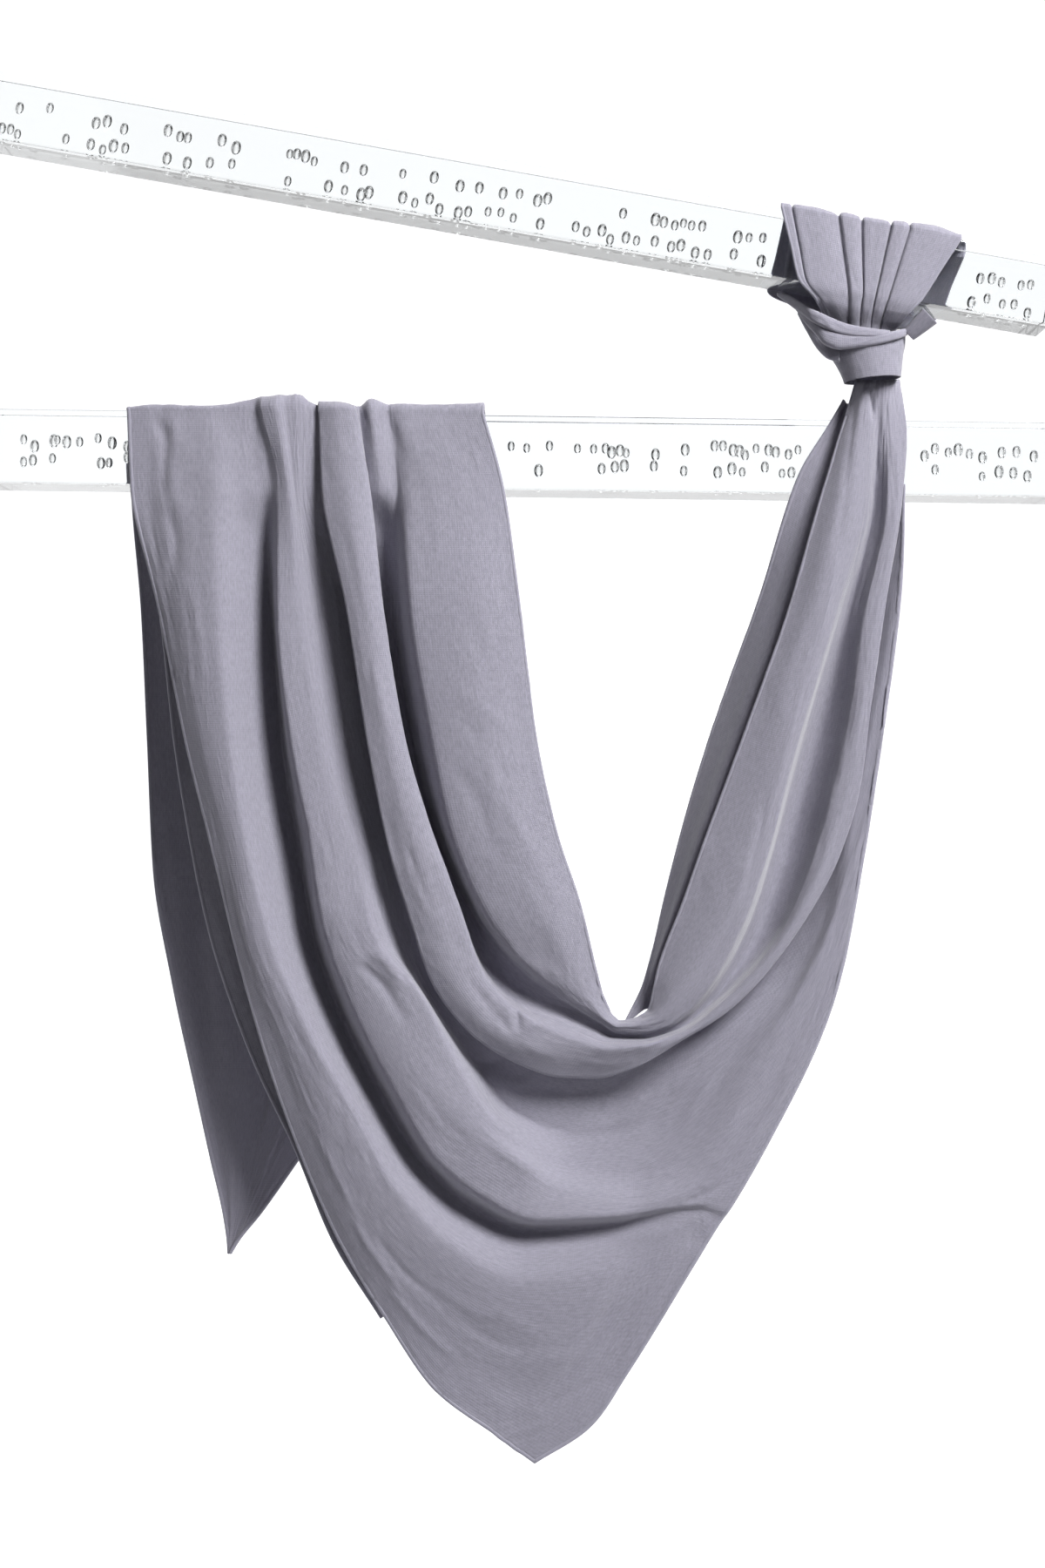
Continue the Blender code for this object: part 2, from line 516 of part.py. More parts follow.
def knot_band(collection):
    """A tapered ring round the neck, higher on the right."""
    lines = []
    sides = 28
    for across, down, half_width, half_depth, tilt in BAND_ROWS:
        middle = seen(across, down, BAND_OUT)
        line = []
        for i in range(sides):
            turn = 2 * math.pi * i / sides
            x = half_width * math.cos(turn)
            line.append(middle + Vector((x, -half_depth * math.sin(turn), x * tilt)))
        lines.append(line)
    return cloth("knot_band", lines, collection, wall=1.3, closed=True)


def knot_tail(collection):
    """The end of the cloth rolled up on itself, widening to its mouth."""
    root, mouth = seen(*TAIL_ROOT), seen(*TAIL_MOUTH)
    along = (mouth - root).normalized()
    side = along.cross(Vector((0, 1, 0))).normalized()
    third = along.cross(side)
    rings, points_round = 5, 30
    lines = []
    for ring in range(rings + 1):
        share = ring / rings
        middle = root.lerp(mouth, share)
        radius = TAIL_ROOT_RADIUS + (TAIL_MOUTH_RADIUS - TAIL_ROOT_RADIUS) * share**0.8
        line = []
        for i in range(points_round + 1):
            wound = i / points_round
            turn = 2 * math.pi * TAIL_TURNS * wound + 0.9
            reach = radius * (1 - TAIL_TIGHTENING * wound)
            line.append(middle + (side * math.cos(turn) + third * math.sin(turn)) * reach)
        lines.append(line)
    return cloth("knot_tail", lines, collection, wall=TAIL_WALL)


def main():
    for thing in list(bpy.data.objects):
        bpy.data.objects.remove(thing, do_unlink=True)
    collection = bpy.data.collections.new("crinkle scarf on two rods")
    bpy.context.scene.collection.children.link(collection)
    lower_corner = seen(ROD_FROM, lower_top(ROD_FROM), 0)
    upper_corner = seen(ROD_FROM, UPPER_TOP + UPPER_SLOPE * ROD_FROM, UPPER_OUT)
    rod("rod_lower", LOWER_SIDE, lower_corner, LOWER_SLOPE, collection)
    rod("rod_upper", UPPER_SIDE, upper_corner, UPPER_SLOPE, collection)
    inner_fall(collection)
    inner_rise(collection)
    outer_fall(collection)
    left_under_layer(collection)
    right_under_layer(collection)
    back_fall(collection)
    rod_loop(collection)
    knot_wrap(collection)
    knot_band(collection)
    knot_tail(collection)


main()
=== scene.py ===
"""Crinkle scarf on two clear rods: the cloth, its hems and creases, the cast rods, light and camera.

Run as a script. Lengths in the tables are millimetres, read as seen from the front: `across` and `down`
lie on the plane of the lower rod's front face, and `out` is how far a point stands in front of it.
"""

import math

import bmesh
import bpy
import numpy as np
from bpy.props import FloatProperty, FloatVectorProperty, PointerProperty
from bpy.types import Operator, Panel, PropertyGroup
from mathutils import Matrix, Vector


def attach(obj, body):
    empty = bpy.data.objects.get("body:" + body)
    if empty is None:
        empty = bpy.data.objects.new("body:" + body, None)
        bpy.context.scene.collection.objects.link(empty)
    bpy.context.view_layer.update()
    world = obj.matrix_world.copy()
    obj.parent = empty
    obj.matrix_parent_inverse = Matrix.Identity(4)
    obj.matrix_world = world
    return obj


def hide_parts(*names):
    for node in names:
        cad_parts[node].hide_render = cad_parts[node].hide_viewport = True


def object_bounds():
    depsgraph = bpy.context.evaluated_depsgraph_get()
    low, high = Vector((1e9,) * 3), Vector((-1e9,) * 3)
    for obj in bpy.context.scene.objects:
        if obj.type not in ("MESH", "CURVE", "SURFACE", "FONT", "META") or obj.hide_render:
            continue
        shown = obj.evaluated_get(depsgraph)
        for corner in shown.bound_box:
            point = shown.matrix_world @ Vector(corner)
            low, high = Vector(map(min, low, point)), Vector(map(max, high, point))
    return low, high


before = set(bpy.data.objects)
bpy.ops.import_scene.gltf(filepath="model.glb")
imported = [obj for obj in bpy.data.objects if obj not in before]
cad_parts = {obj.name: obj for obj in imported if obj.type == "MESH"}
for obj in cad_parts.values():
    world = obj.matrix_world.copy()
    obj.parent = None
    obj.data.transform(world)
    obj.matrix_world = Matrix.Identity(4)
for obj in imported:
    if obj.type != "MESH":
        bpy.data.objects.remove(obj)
CAD_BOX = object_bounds()

bl_info = {
    "name": "Crinkle scarf on two rods",
    "version": (1, 0, 0),
    "blender": (4, 5, 0),
    "location": "View3D > Sidebar > Scarf",
    "description": "Builds a crinkle scarf draped over one clear rod and knotted round another",
    "category": "Add Mesh",
}

MM = 0.001
EYE_DISTANCE, EYE_ACROSS, EYE_DOWN = 1420.0, 300.0, 450.0
PICTURE_WIDTH = 600.0
# The rolled hem: sides of its tube, how much a stitch nips it, how many millimetres apart the stitches are,
# and how wide its own crinkles are.
HEM_SIDES, STITCH_NIP, STITCH_EVERY, HEM_CRINKLE_MM = 8, 0.22, 4, 2.0
ROD_FROM, ROD_TO = -10.0, 610.0
LOWER_SIDE, LOWER_TOP, LOWER_SLOPE = 42.5, 234.3, 0.0131
UPPER_SIDE, UPPER_TOP, UPPER_SLOPE, UPPER_OUT = 38.0, 40.3, 0.1764, 39.0

# The paper sweep, in metres: how far its floor lies under the scarf and from where to where it runs, the
# radius of its bend, its height and its half width.
FLOOR_BELOW, SWEEP_FRONT, SWEEP_BACK = 0.16, -0.7, 4.4
SWEEP_RADIUS, SWEEP_HEIGHT, SWEEP_HALF_WIDTH = 0.7, 5.0, 2.4
# The lights: (name, place from the middle of the picture in metres, size in metres, power in watts).
LIGHTS = (
    ("key light", (1.2, -1.45, 1.5), 1.0, 108.0),
    ("fill light", (-1.2, -1.9, 0.5), 1.6, 2.0),
)

# The folds of the inner band, from the swag's inner edge outwards. Each row is a place on the fold line:
# (station, across, down, out). Station 0 is the highest point over the lower rod, 10 the bottom of the
# swag and 20 the knot.
INNER_FOLDS = {
    "inner_edge": [
        (0, 278, 232, 4), (1, 289.5, 281, 5), (2, 299, 350, 7), (3, 308.5, 425, 7), (4, 320, 477.5, 7),
        (5, 333, 517.5, 6), (6, 341.5, 552.5, 4), (7, 346, 570, 2), (8, 349, 577.5, 0), (9, 352, 583, -1),
        (10, 356.5, 586, -2), (11, 364, 584.5, -1), (12, 371.5, 580, 0), (13, 378.5, 552.5, 3),
        (14, 392, 517.5, 6), (15, 406, 477.5, 9), (16, 419, 442.5, 11), (17, 436.5, 395, 13),
        (18, 452.5, 350, 15), (19, 472.5, 280, 17), (20, 491.5, 218, 14),
    ],
    "panel_crest": [
        (0, 252.5, 232.5, 3), (1, 264, 281, 7), (2, 270, 350, 14), (3, 278, 425, 15), (4, 294, 480, 15),
        (5, 310, 521, 14), (6, 322.5, 552.5, 9), (7, 334, 571.5, 7), (8, 341, 579, 6), (9, 347.5, 585, 5),
        (10, 355, 589, 5), (11, 365, 588.5, 5), (12, 376, 585, 6), (13, 395, 562.5, 10),
        (14, 415, 527.5, 14), (15, 431, 487.5, 17), (16, 442.5, 450, 19), (17, 456, 400, 21),
        (18, 469, 352.5, 23), (19, 485, 285, 25), (20, 497.5, 218, 23),
    ],
    "panel_shoulder": [
        (0, 229, 232.5, 3), (1, 233, 281, 5), (2, 237, 350, 12), (3, 249, 425, 12), (4, 260, 477.5, 11),
        (5, 278.5, 522.5, 9), (6, 301.5, 552, 7), (7, 320, 568.5, 3), (8, 334, 578.5, 3), (9, 346, 586, 2),
        (10, 355, 591.5, 2), (11, 367.5, 592, 3), (12, 384, 588, 4), (13, 404, 568.5, 8), (14, 428, 525, 13),
        (15, 443, 479, 16), (16, 452, 442.5, 18), (17, 465, 397.5, 19), (18, 479, 350, 20),
        (19, 495, 287.5, 22), (20, 501, 218, 24),
    ],
    "gap_wall": [
        (0, 223.5, 233, 2.2), (1, 226, 281, 2), (1.35, 227.2, 305, -5), (2, 230, 350, -10),
        (3, 241, 425, -13), (4, 254, 478, -13), (5, 274.5, 524.5, -12), (6, 296, 554, -9),
        (7, 316, 571, -4), (8, 332, 580.5, -3), (9, 344.5, 588, -2), (10, 354.5, 593.5, -1.5),
        (11, 368, 594, -1), (12, 386, 589.6, 0), (13, 406.5, 571.5, -2), (14, 432, 527, -4),
        (15, 446, 481, -3), (16, 456, 444, 0), (17, 469, 399, 5), (18, 483, 350, 10), (19, 498, 287, 20),
        (20, 503, 218, 22.5),
    ],
    "gap_floor": [
        (0, 213.5, 229, 7), (1, 218, 281, 4), (1.35, 219.7, 305, -12), (2, 224, 350, -21),
        (3, 235.5, 425, -25), (4, 249, 478, -24), (5, 270, 525, -19), (6, 287, 556.5, -14),
        (7, 308, 575, -8), (8, 327.5, 584, -4), (9, 341, 590.5, -3), (10, 353, 595.5, -2.5),
        (11, 368.5, 596, -2), (12, 388.5, 590.9, -1.5), (13, 410, 573, -6), (14, 439, 529, -10),
        (15, 453.5, 484, -10), (16, 464, 446, -8), (17, 476.5, 400.5, -3), (18, 487.5, 350, 4),
        (19, 502, 286.5, 13), (20, 505, 218, 24),
    ],
    "tube_underside": [
        (0, 206.5, 233.5, 2), (1, 211.5, 281, 1.6), (1.35, 213.5, 305, -9), (2, 218, 350, -18),
        (3, 230, 425, -22), (4, 244, 478, -20), (5, 263.5, 524, -14), (6, 279, 559, -9),
        (7, 299, 578, -3), (8, 322.5, 588, 2), (9, 337, 594, 3), (10, 351, 598.5, 3.5),
        (11, 368.5, 598.2, 3.5), (12, 390, 592.1, 3), (13, 414, 573.5, 0), (14, 446.5, 532, -3),
        (15, 462.5, 487, -4), (16, 473, 448, -1), (17, 484, 402, 4), (18, 492.5, 350, 9),
        (19, 506, 286, 16), (20, 507.5, 218, 23.5),
    ],
    "tube_right_edge": [
        (0, 204, 233.5, 8), (1, 212.5, 281, 9), (2, 220, 350, 13), (3, 232.5, 425, 14), (4, 247, 475, 13),
        (5, 265, 525, 11), (6, 276, 557, 9), (7, 295, 579, 8), (8, 316, 593, 8), (9, 332.5, 598.5, 8),
        (10, 349, 602, 9), (11, 368, 600.5, 9), (12, 391, 593.3, 6), (13, 416, 575, 8),
        (14, 449.5, 535, 9), (15, 469, 489, 11), (16, 480, 450, 13), (17, 490, 403, 15),
        (18, 497.5, 350, 17), (19, 510, 285.5, 21), (20, 510, 218, 21.5),
    ],
    "tube_crest": [
        (0, 194, 231, 9), (1, 200, 281, 14), (2, 209.5, 350, 19), (3, 222, 426, 20), (4, 236, 480, 19),
        (5, 250, 532.5, 16), (6, 262.5, 564, 13), (7, 282.5, 587.5, 10), (8, 307.5, 601, 8),
        (9, 327.5, 606, 6), (10, 346, 608.5, 5), (11, 366.5, 605, 6), (12, 391, 595.6, 7.5),
        (13, 418, 576.5, 9), (14, 452, 537, 11), (15, 475, 490.5, 13), (16, 486.5, 451, 15),
        (17, 495, 404, 17), (18, 502.5, 350, 18), (19, 514, 285, 21), (20, 513, 218, 18.5),
    ],
    "tube_left_edge": [
        (0, 183, 231, 5), (1, 184.5, 281, 9), (2, 199, 350, 15), (3, 211.5, 430, 17), (4, 223, 487.5, 16),
        (5, 237, 532.5, 13), (6, 248, 564, 9), (7, 272.5, 595, 5), (8, 298.5, 611, 1), (9, 320, 618, -1),
        (10, 341.5, 619, -2), (11, 364, 613, 2), (12, 390, 598.3, 6), (13, 420.5, 578.5, 8),
        (14, 455, 539, 10), (15, 482, 491.5, 12), (16, 494, 451.5, 14), (17, 500, 405, 16),
        (18, 508, 350, 17), (19, 518, 284.5, 19), (19.5, 520.5, 250, 18), (20, 516, 218, 14),
    ],
}

# The folds of the outer fall, from the edge tucked behind the tube above to the left hem. Station 17
# is the right hem, from the knot down to the bottom point.
OUTER_FOLDS = {
    "tucked_edge": [
        (0, 186, 234.6, 1.6), (1, 187.5, 281, 1.6), (2, 203, 350, -9), (3, 214, 422, -10),
        (4, 225, 476, -10), (5, 240, 526, -9), (6, 254, 564, -10), (7, 283, 596, -13), (8, 308, 609, -13),
        (9, 330, 614, -12), (10, 351, 611, -11), (11, 383, 599, -8), (12, 412, 577, -13),
        (13, 441, 543, -16), (14, 465, 492, -15), (15, 483, 420, -12), (16, 498, 345, -5),
        (17, 520, 278, 6),
    ],
    "rise_edge": [
        (0, 177, 230.5, 3.5), (1, 177, 281, 3), (2, 193, 350, -5), (3, 206, 426, -5), (4, 219, 480, -6),
        (5, 232, 529, -6), (6, 248.5, 570, -10), (7, 277, 602, -16), (8, 302, 622, -18), (9, 327, 630, -18),
        (10, 351, 630, -18), (11, 387, 615, -11), (12, 424, 590, -5), (13, 455, 561, -3), (14, 473.5, 525, 0),
        (15, 489.5, 472, 7), (16, 503, 410, 9), (17, 518, 335, 12),
    ],
    "pocket": [
        (0, 171.5, 226.5, 6), (1, 172, 281, 5), (2, 183, 350, -2), (3, 198, 427, -1), (4, 212, 482, 0),
        (5, 226, 532, -2), (6, 246, 572, -8), (7, 272, 608, -15), (8, 293, 636, -18), (9, 318, 647, -18),
        (10, 343, 651, -16), (11, 378, 647, -10), (12, 408, 629, -4), (13, 440, 598, 3), (14, 463, 565, 5),
        (15, 481, 528, 6), (16, 494, 490, 7), (17, 502.5, 452, 8),
    ],
    "branch_edge": [
        (0, 164, 227, 7), (1, 169, 281, 7), (2, 177, 350, 3), (3, 190, 429, 4), (4, 203, 487, 7),
        (5, 213.5, 537, 13), (6, 240, 570, 13), (7, 261, 611, 11), (8, 281.5, 642, 8), (9, 304, 661, 0),
        (10, 328, 670, -8), (11, 362, 672, -6), (12, 392, 664, -2), (13, 418, 650, 3), (14, 440, 630, 4),
        (15, 459, 607, 5), (16, 472, 583, 5), (17, 481, 568, 5),
    ],
    "second_crest": [
        (0, 158, 227.5, 9), (1, 165, 281, 9), (2, 170, 350, 7), (3, 182, 429, 8), (4, 191, 484, 9),
        (5, 200, 537, 13), (6, 221, 573, 14), (7, 240, 615, 14), (8, 267, 649, 12), (9, 295, 667, 10),
        (10, 321, 683, 4), (11, 361, 688, 3), (12, 380, 686, 5), (13, 396, 681, 5), (14, 410, 674, 5),
        (15, 424, 665, 5), (16, 435, 658, 4), (17, 443, 653, 4),
    ],
    "second_left_edge": [
        (0, 151, 228, 7), (1, 160, 281, 7), (2, 160, 350, 8), (3, 168, 425, 9), (4, 178.5, 480, 9),
        (5, 186.5, 532, 11), (6, 204.5, 580, 11), (7, 226.5, 623.5, 11), (8, 251.5, 664, 10),
        (9, 278, 685, 9), (10, 311, 699, 8), (11, 356, 697, 7), (12, 371, 694.5, 6), (13, 384, 692, 6),
        (14, 395, 690.5, 5), (15, 404, 690, 5), (16, 412, 691.5, 4), (17, 420, 693, 4),
    ],
    "trough_floor": [
        (0, 146, 229.5, 2.5), (1, 152, 281, 2), (1.35, 153.2, 305, -7), (2, 156, 350, -16),
        (3, 162, 427, -22), (4, 171, 484, -23), (5, 180, 537, -22), (6, 195.5, 582, -20),
        (7, 217, 626, -18), (8, 243.5, 669, -16), (9, 271, 693, -13), (10, 306, 706, -10),
        (11, 354, 703, -4), (12, 368, 700, -1), (13, 380, 697, 1), (14, 390, 695.5, 2),
        (15, 398, 695.5, 2), (16, 406, 698, 2), (17, 413.5, 702, 2),
    ],
    "first_crest": [
        (0, 120, 233.5, 3), (1, 122, 281, 10), (2, 124, 350, 15), (3, 131, 427, 15), (4, 141, 486, 15),
        (5, 155, 541, 15), (6, 176, 591, 15), (7, 201, 638, 14), (8, 224, 679, 13), (9, 257.5, 715, 11),
        (10, 300, 736.5, 9), (11, 350, 731.5, 6), (12, 361, 728, 4), (13, 371, 725, 3), (14, 380, 723, 3),
        (15, 388, 722, 3), (16, 395, 722, 2), (17, 400, 724, 2),
    ],
    "first_shoulder": [
        (0, 95, 232.5, 2), (1, 96, 281, 6), (2, 106, 350, 12), (3, 118, 427, 13), (4, 132, 486, 13),
        (5, 144, 542, 13), (6, 166, 597, 12), (7, 187, 647, 11), (8, 210, 696, 9), (9, 240, 732, 7),
        (10, 280, 766, 4), (11, 324, 780, 1), (12, 332, 781, -1), (13, 339, 781, -1), (14, 345, 781, -2),
        (15, 351, 781.5, -2), (16, 357, 783, -2), (17, 363, 784.5, -2),
    ],
    "hem_side": [
        (0, 84, 233, 1.8), (1, 85, 281, 2.5), (2, 98, 350, 8), (3, 112, 426.5, 9), (4, 127, 486, 9),
        (5, 140, 545, 9), (6, 159, 600, 8), (7, 179, 653, 7), (8, 202, 704, 6), (9, 230, 744, 4),
        (10, 265, 783, 0), (11, 303, 803, -3), (12, 310, 806, -3), (13, 317, 809, -3), (14, 323, 811.5, -4),
        (15, 329, 814, -4), (16, 334, 816.5, -4), (17, 339, 819, -4),
    ],
    "left_hem": [
        (0, 73, 234, 1.5), (1, 75, 281, 1.6), (2, 91, 350, 2), (3, 106, 426, 4), (4, 121.5, 486, 4),
        (5, 136, 547.5, 4), (6, 151.5, 603.5, 3), (7, 171.5, 660, 0), (8, 194, 711, -1),
        (9, 220, 755, -2), (10, 250, 798.5, -3), (11, 282, 822, -4), (12, 287, 826, -4),
        (13, 292, 829.5, -4), (14, 296, 832.5, -5), (15, 300, 835, -5), (16, 303.5, 837.5, -5),
        (17, 307, 840, -5),
    ],
}

# The second layer's own edge where it shows: (station, across, down, out).
LEFT_UNDER_EDGE = [
    (1.25, 79, 294, -4), (2, 91.5, 352, -12), (3, 100, 427, -15), (4, 109, 485, -16), (5, 121, 540, -16),
    (6, 143, 604, -12), (7, 169, 660, -6), (8, 191, 713, -6), (9, 218.5, 757, -6),
]
RIGHT_UNDER_EDGE = [
    (12, 357, 590, -8), (12.5, 369, 565, -12), (13, 373.5, 550, -15), (14, 382.5, 510, -19),
    (15, 393, 470, -20), (16, 403.5, 435, -18), (17, 419.5, 387.5, -13), (18, 436, 342.5, -6),
    (19, 458.5, 272.5, 5), (19.5, 475, 245, 8), (20, 490, 219, 9),
]

# The fall behind the lower rod: (down, left, right, back, folds).
BACK_ROWS = [
    (262, 74.5, 278, 1.5, 0.6), (292, 76, 278, 3, 0.9), (350, 81, 273, 4, 1.2), (425, 84.5, 265, 4, 1.2),
    (500, 88, 250, 4, 1.0), (565, 99, 227, 4, 0.8), (625, 112, 200, 4, 0.5), (666, 121, 171.5, 4, 0.15),
    (696.5, 128, 150, 4, 0.03), (712, 130.3, 137.5, 4, 0), (719.5, 130.8, 133, 4, 0),
]

# Pleats of the loop, left to right: (across on the rod's top edge, on its front bottom edge, on its
# rear bottom edge, at the neck, height over the rod).
LOOP_PLEATS = [
    (448.5, 458.5, 440.5, 476, 2.2), (453.2, 461.8, 447.4, 478.6, 2.4), (454.8, 462.7, 449.4, 479.2, 0.9),
    (456.6, 464.2, 451, 480, 3.0), (467.5, 473, 463, 483.5, 3.4), (478.5, 484.8, 472.5, 486.8, 1.8),
    (481.5, 487, 475.5, 488, 0.9), (484, 489.2, 478.5, 489.2, 3.2), (489, 492.2, 484, 491.3, 3.4),
    (493, 494.8, 487.8, 493, 2.6), (494.6, 495.7, 489.2, 493.6, 0.9), (496.6, 496.8, 491, 494.5, 3.0),
    (503, 499.5, 498, 496.5, 3.3), (510, 502.3, 505.6, 499, 3.0), (511.6, 503.1, 507.1, 499.6, 0.9),
    (513.4, 504.4, 509, 500.3, 3.4), (518, 507, 514, 502.3, 3.6), (520.8, 509.6, 517, 504.4, 3.0),
    (522.2, 510.6, 518.2, 505.1, 0.9), (524.4, 512, 520, 505.9, 4.0), (537, 518.5, 528, 509.5, 4.6),
    (546, 524, 533.2, 512.6, 3.2), (552, 529, 537, 514.5, 2.2),
]
NECK_MIDDLE, NECK_TOP, NECK_END = 496.0, 189.0, 201.0
NECK_FRONT, NECK_REAR, NECK_CORE = 33.0, 12.0, 22.0
NECK_HALF_WIDTH, NECK_NARROWING = 21.0, 0.8

# Folds across the neck, each left to right: (across, upper edge down, lower edge down, out).
WRAP_FOLDS = {
    "upper_fold": [
        (446.5, 168.2, 169.5, 4), (452.5, 169.5, 174, 14), (458.5, 173, 178.5, 24), (466, 177.5, 184, 35.5),
        (472, 180, 187.5, 38.8), (478, 183, 190, 40.2), (490, 187, 192.8, 40.4), (502.5, 189, 193.2, 39.6),
        (511, 190, 192.8, 37),
    ],
    "lower_fold": [
        (457.5, 176.5, 178, 17), (463, 180.5, 185.5, 27), (469, 184.5, 192, 34), (474, 187.5, 197.5, 37.2),
        (482, 190, 200, 38.8), (492, 191.5, 199, 39), (504, 192, 197, 38.6), (514, 190.5, 194.5, 36),
        (520.5, 188.8, 192, 30),
    ],
    "left_tail": [
        (458.6, 178, 180, 9), (464, 184.5, 190.5, 17), (470, 191, 200.5, 24), (476, 196.5, 206, 30),
        (482, 200, 207.5, 33),
    ],
}
# How such a fold swells: (share of the way down its width, how far it stands out as a share of its width).
WRAP_SWELL = ((0, -0.16), (0.12, 0.02), (0.35, 0.12), (0.7, 0.14), (0.93, 0.06), (1, -0.14))

# The band round the neck, top to bottom: (middle across, middle down, half width, half depth, tilt).
BAND_ROWS = [
    (497, 195.5, 21.4, 16.0, 0.20), (498, 201, 20.2, 15.4, 0.18), (499.2, 207.5, 18.0, 14.6, 0.15),
    (500.2, 213.5, 16.4, 14.0, 0.12), (500.7, 218.2, 15.4, 13.4, 0.10),
]
BAND_OUT = 22.0

TAIL_ROOT, TAIL_ROOT_RADIUS = (521.5, 192.0, 27.0), 4.6
TAIL_MOUTH, TAIL_MOUTH_RADIUS = (533.5, 180.5, 31.0), 7.4
TAIL_TURNS, TAIL_TIGHTENING = 1.55, 0.62

# Groups of bubbles in each rod: (across from, across to, how many in the upper row, in the lower row).
UPPER_BUBBLES = [
    (3, 16, 1, 3), (28, 34, 1, 0), (38, 44, 0, 1), (52, 76, 3, 4), (94, 114, 3, 2), (122, 140, 2, 2),
    (165, 186, 4, 1), (188, 222, 2, 4), (230, 262, 2, 4), (264, 304, 4, 5), (308, 322, 2, 1),
    (332, 374, 1, 6), (378, 402, 5, 3), (404, 416, 1, 2), (424, 446, 3, 2), (563, 600, 5, 5),
]
LOWER_BUBBLES = [
    (6, 22, 2, 2), (24, 46, 4, 1), (52, 74, 3, 3), (288, 318, 3, 1), (326, 334, 1, 0), (340, 364, 5, 3),
    (374, 398, 2, 2), (410, 432, 5, 3), (434, 462, 5, 3), (532, 560, 5, 1), (560, 600, 4, 4),
]
# A bubble's width as a share of its height.
BUBBLE_SLIMNESS = 0.68

# Creases pressed into the cloth: (across and down of one end, of the middle, of the other end,
# half width, height). A height below nought is a trough.
INNER_CREASES = [
    ((222, 236), (229, 262), (230, 300), 5, -2.2), ((262, 395), (282, 410), (297, 424), 3, 0.8),
    ((268, 350), (276, 372), (283, 398), 4, -0.8), ((262, 410), (279, 428), (292, 452), 3.2, -0.9),
    ((276, 420), (283, 440), (283, 466), 2.6, 0.9), ((288, 456), (297, 474), (310, 496), 3, 0.8),
    ((262, 440), (275, 462), (285, 492), 4, -1.0), ((296, 490), (308, 508), (318, 528), 3.4, -0.8),
    ((294, 574), (297, 582), (297.5, 592), 3.0, -2.6), ((268, 560), (284, 582), (296, 594), 3.4, -1.2),
    ((299, 592), (308, 588), (318, 590), 3, 1.0), ((230, 470), (239, 500), (250, 528), 3, -0.8),
    ((214, 380), (219, 402), (229, 440), 3, 0.7), ((196, 300), (203, 330), (212, 372), 3.6, -0.6),
    ((242, 262), (250, 290), (252, 330), 5, 0.6), ((398, 566), (412, 545), (424, 520), 3, -0.8),
    ((412, 540), (424, 512), (432, 486), 3.2, 0.9), ((430, 500), (437, 476), (440, 452), 3, -0.9),
    ((444, 460), (452, 430), (460, 398), 3.4, 0.9), ((452, 410), (461, 378), (468, 350), 3.4, -0.9),
    ((470, 372), (477, 338), (482, 306), 3.2, 0.8), ((478, 320), (485, 288), (489, 258), 3, -1.0),
    ((499, 222), (500.5, 230), (501, 240), 1.8, -3.2), ((492, 222), (490, 245), (484, 280), 2.4, -1.2),
    ((508, 224), (510, 250), (508, 285), 2.4, -1.0), ((455, 530), (470, 503), (480, 470), 3, 0.7),
    ((330, 606), (348, 611), (366, 607), 3, 0.6), ((434, 560), (452, 530), (466, 500), 2.6, -0.7),
]
OUTER_CREASES = [
    ((88, 238), (96, 256), (93, 285), 4.4, -1.6), ((100, 240), (98, 268), (104, 300), 4, 1.2),
    ((96, 292), (101, 312), (97, 338), 4.2, -1.4), ((134, 258), (137, 285), (142, 330), 6, -0.9),
    ((150, 240), (150, 262), (156, 292), 4, 0.9), ((106, 330), (112, 352), (118, 392), 4, 0.7),
    ((213, 545), (222, 552), (232, 568), 5, 2.2), ((206, 552), (220, 566), (234, 588), 4, -1.8),
    ((262, 603), (280, 610), (296, 606), 4.5, -2.0), ((276, 616), (296, 622), (318, 612), 4, 1.4),
    ((306, 628), (320, 618), (330, 628), 3.4, 1.0), ((340, 640), (348, 628), (356, 622), 3.2, -1.0),
    ((356, 646), (364, 634), (374, 628), 3.2, 1.2), ((372, 648), (382, 634), (394, 624), 3.4, -1.2),
    ((392, 644), (402, 628), (414, 612), 3.4, 1.1), ((330, 652), (352, 650), (378, 642), 4, -0.8),
    ((208, 640), (226, 668), (250, 700), 3.2, 0.8), ((186, 612), (202, 642), (220, 676), 3.6, -0.7),
    ((176, 640), (190, 668), (206, 702), 2.8, 0.9), ((196, 690), (212, 716), (232, 744), 2.6, 1.0),
    ((214, 706), (232, 730), (256, 750), 2.8, -1.0), ((222, 738), (242, 762), (262, 780), 2.4, 1.0),
    ((250, 738), (272, 752), (300, 760), 3.2, 0.9), ((262, 756), (284, 770), (306, 776), 2.6, -0.9),
    ((282, 748), (304, 764), (326, 770), 3, 0.8), ((300, 786), (318, 780), (342, 778), 2.6, 0.8),
    ((308, 808), (326, 800), (350, 790), 2.8, -0.7), ((330, 752), (352, 748), (380, 736), 3.2, 0.8),
    ((340, 772), (362, 764), (384, 750), 2.8, -0.8), ((352, 712), (378, 708), (408, 696), 3.4, 0.8),
    ((404, 672), (420, 662), (440, 644), 3, 1.0), ((392, 690), (408, 684), (428, 668), 2.8, -0.9),
    ((440, 640), (456, 618), (472, 590), 3, 0.9), ((424, 640), (446, 616), (464, 586), 3.2, -1.0),
    ((466, 592), (480, 566), (492, 536), 2.8, 0.9), ((484, 548), (496, 506), (504, 466), 2.6, -1.0),
    ((488, 500), (500, 462), (508, 420), 2.4, 0.9), ((234, 620), (252, 646), (276, 668), 3, 0.6),
    ((160, 560), (170, 590), (184, 622), 3.6, -0.7), ((300, 700), (326, 712), (356, 712), 4, -0.7),
]
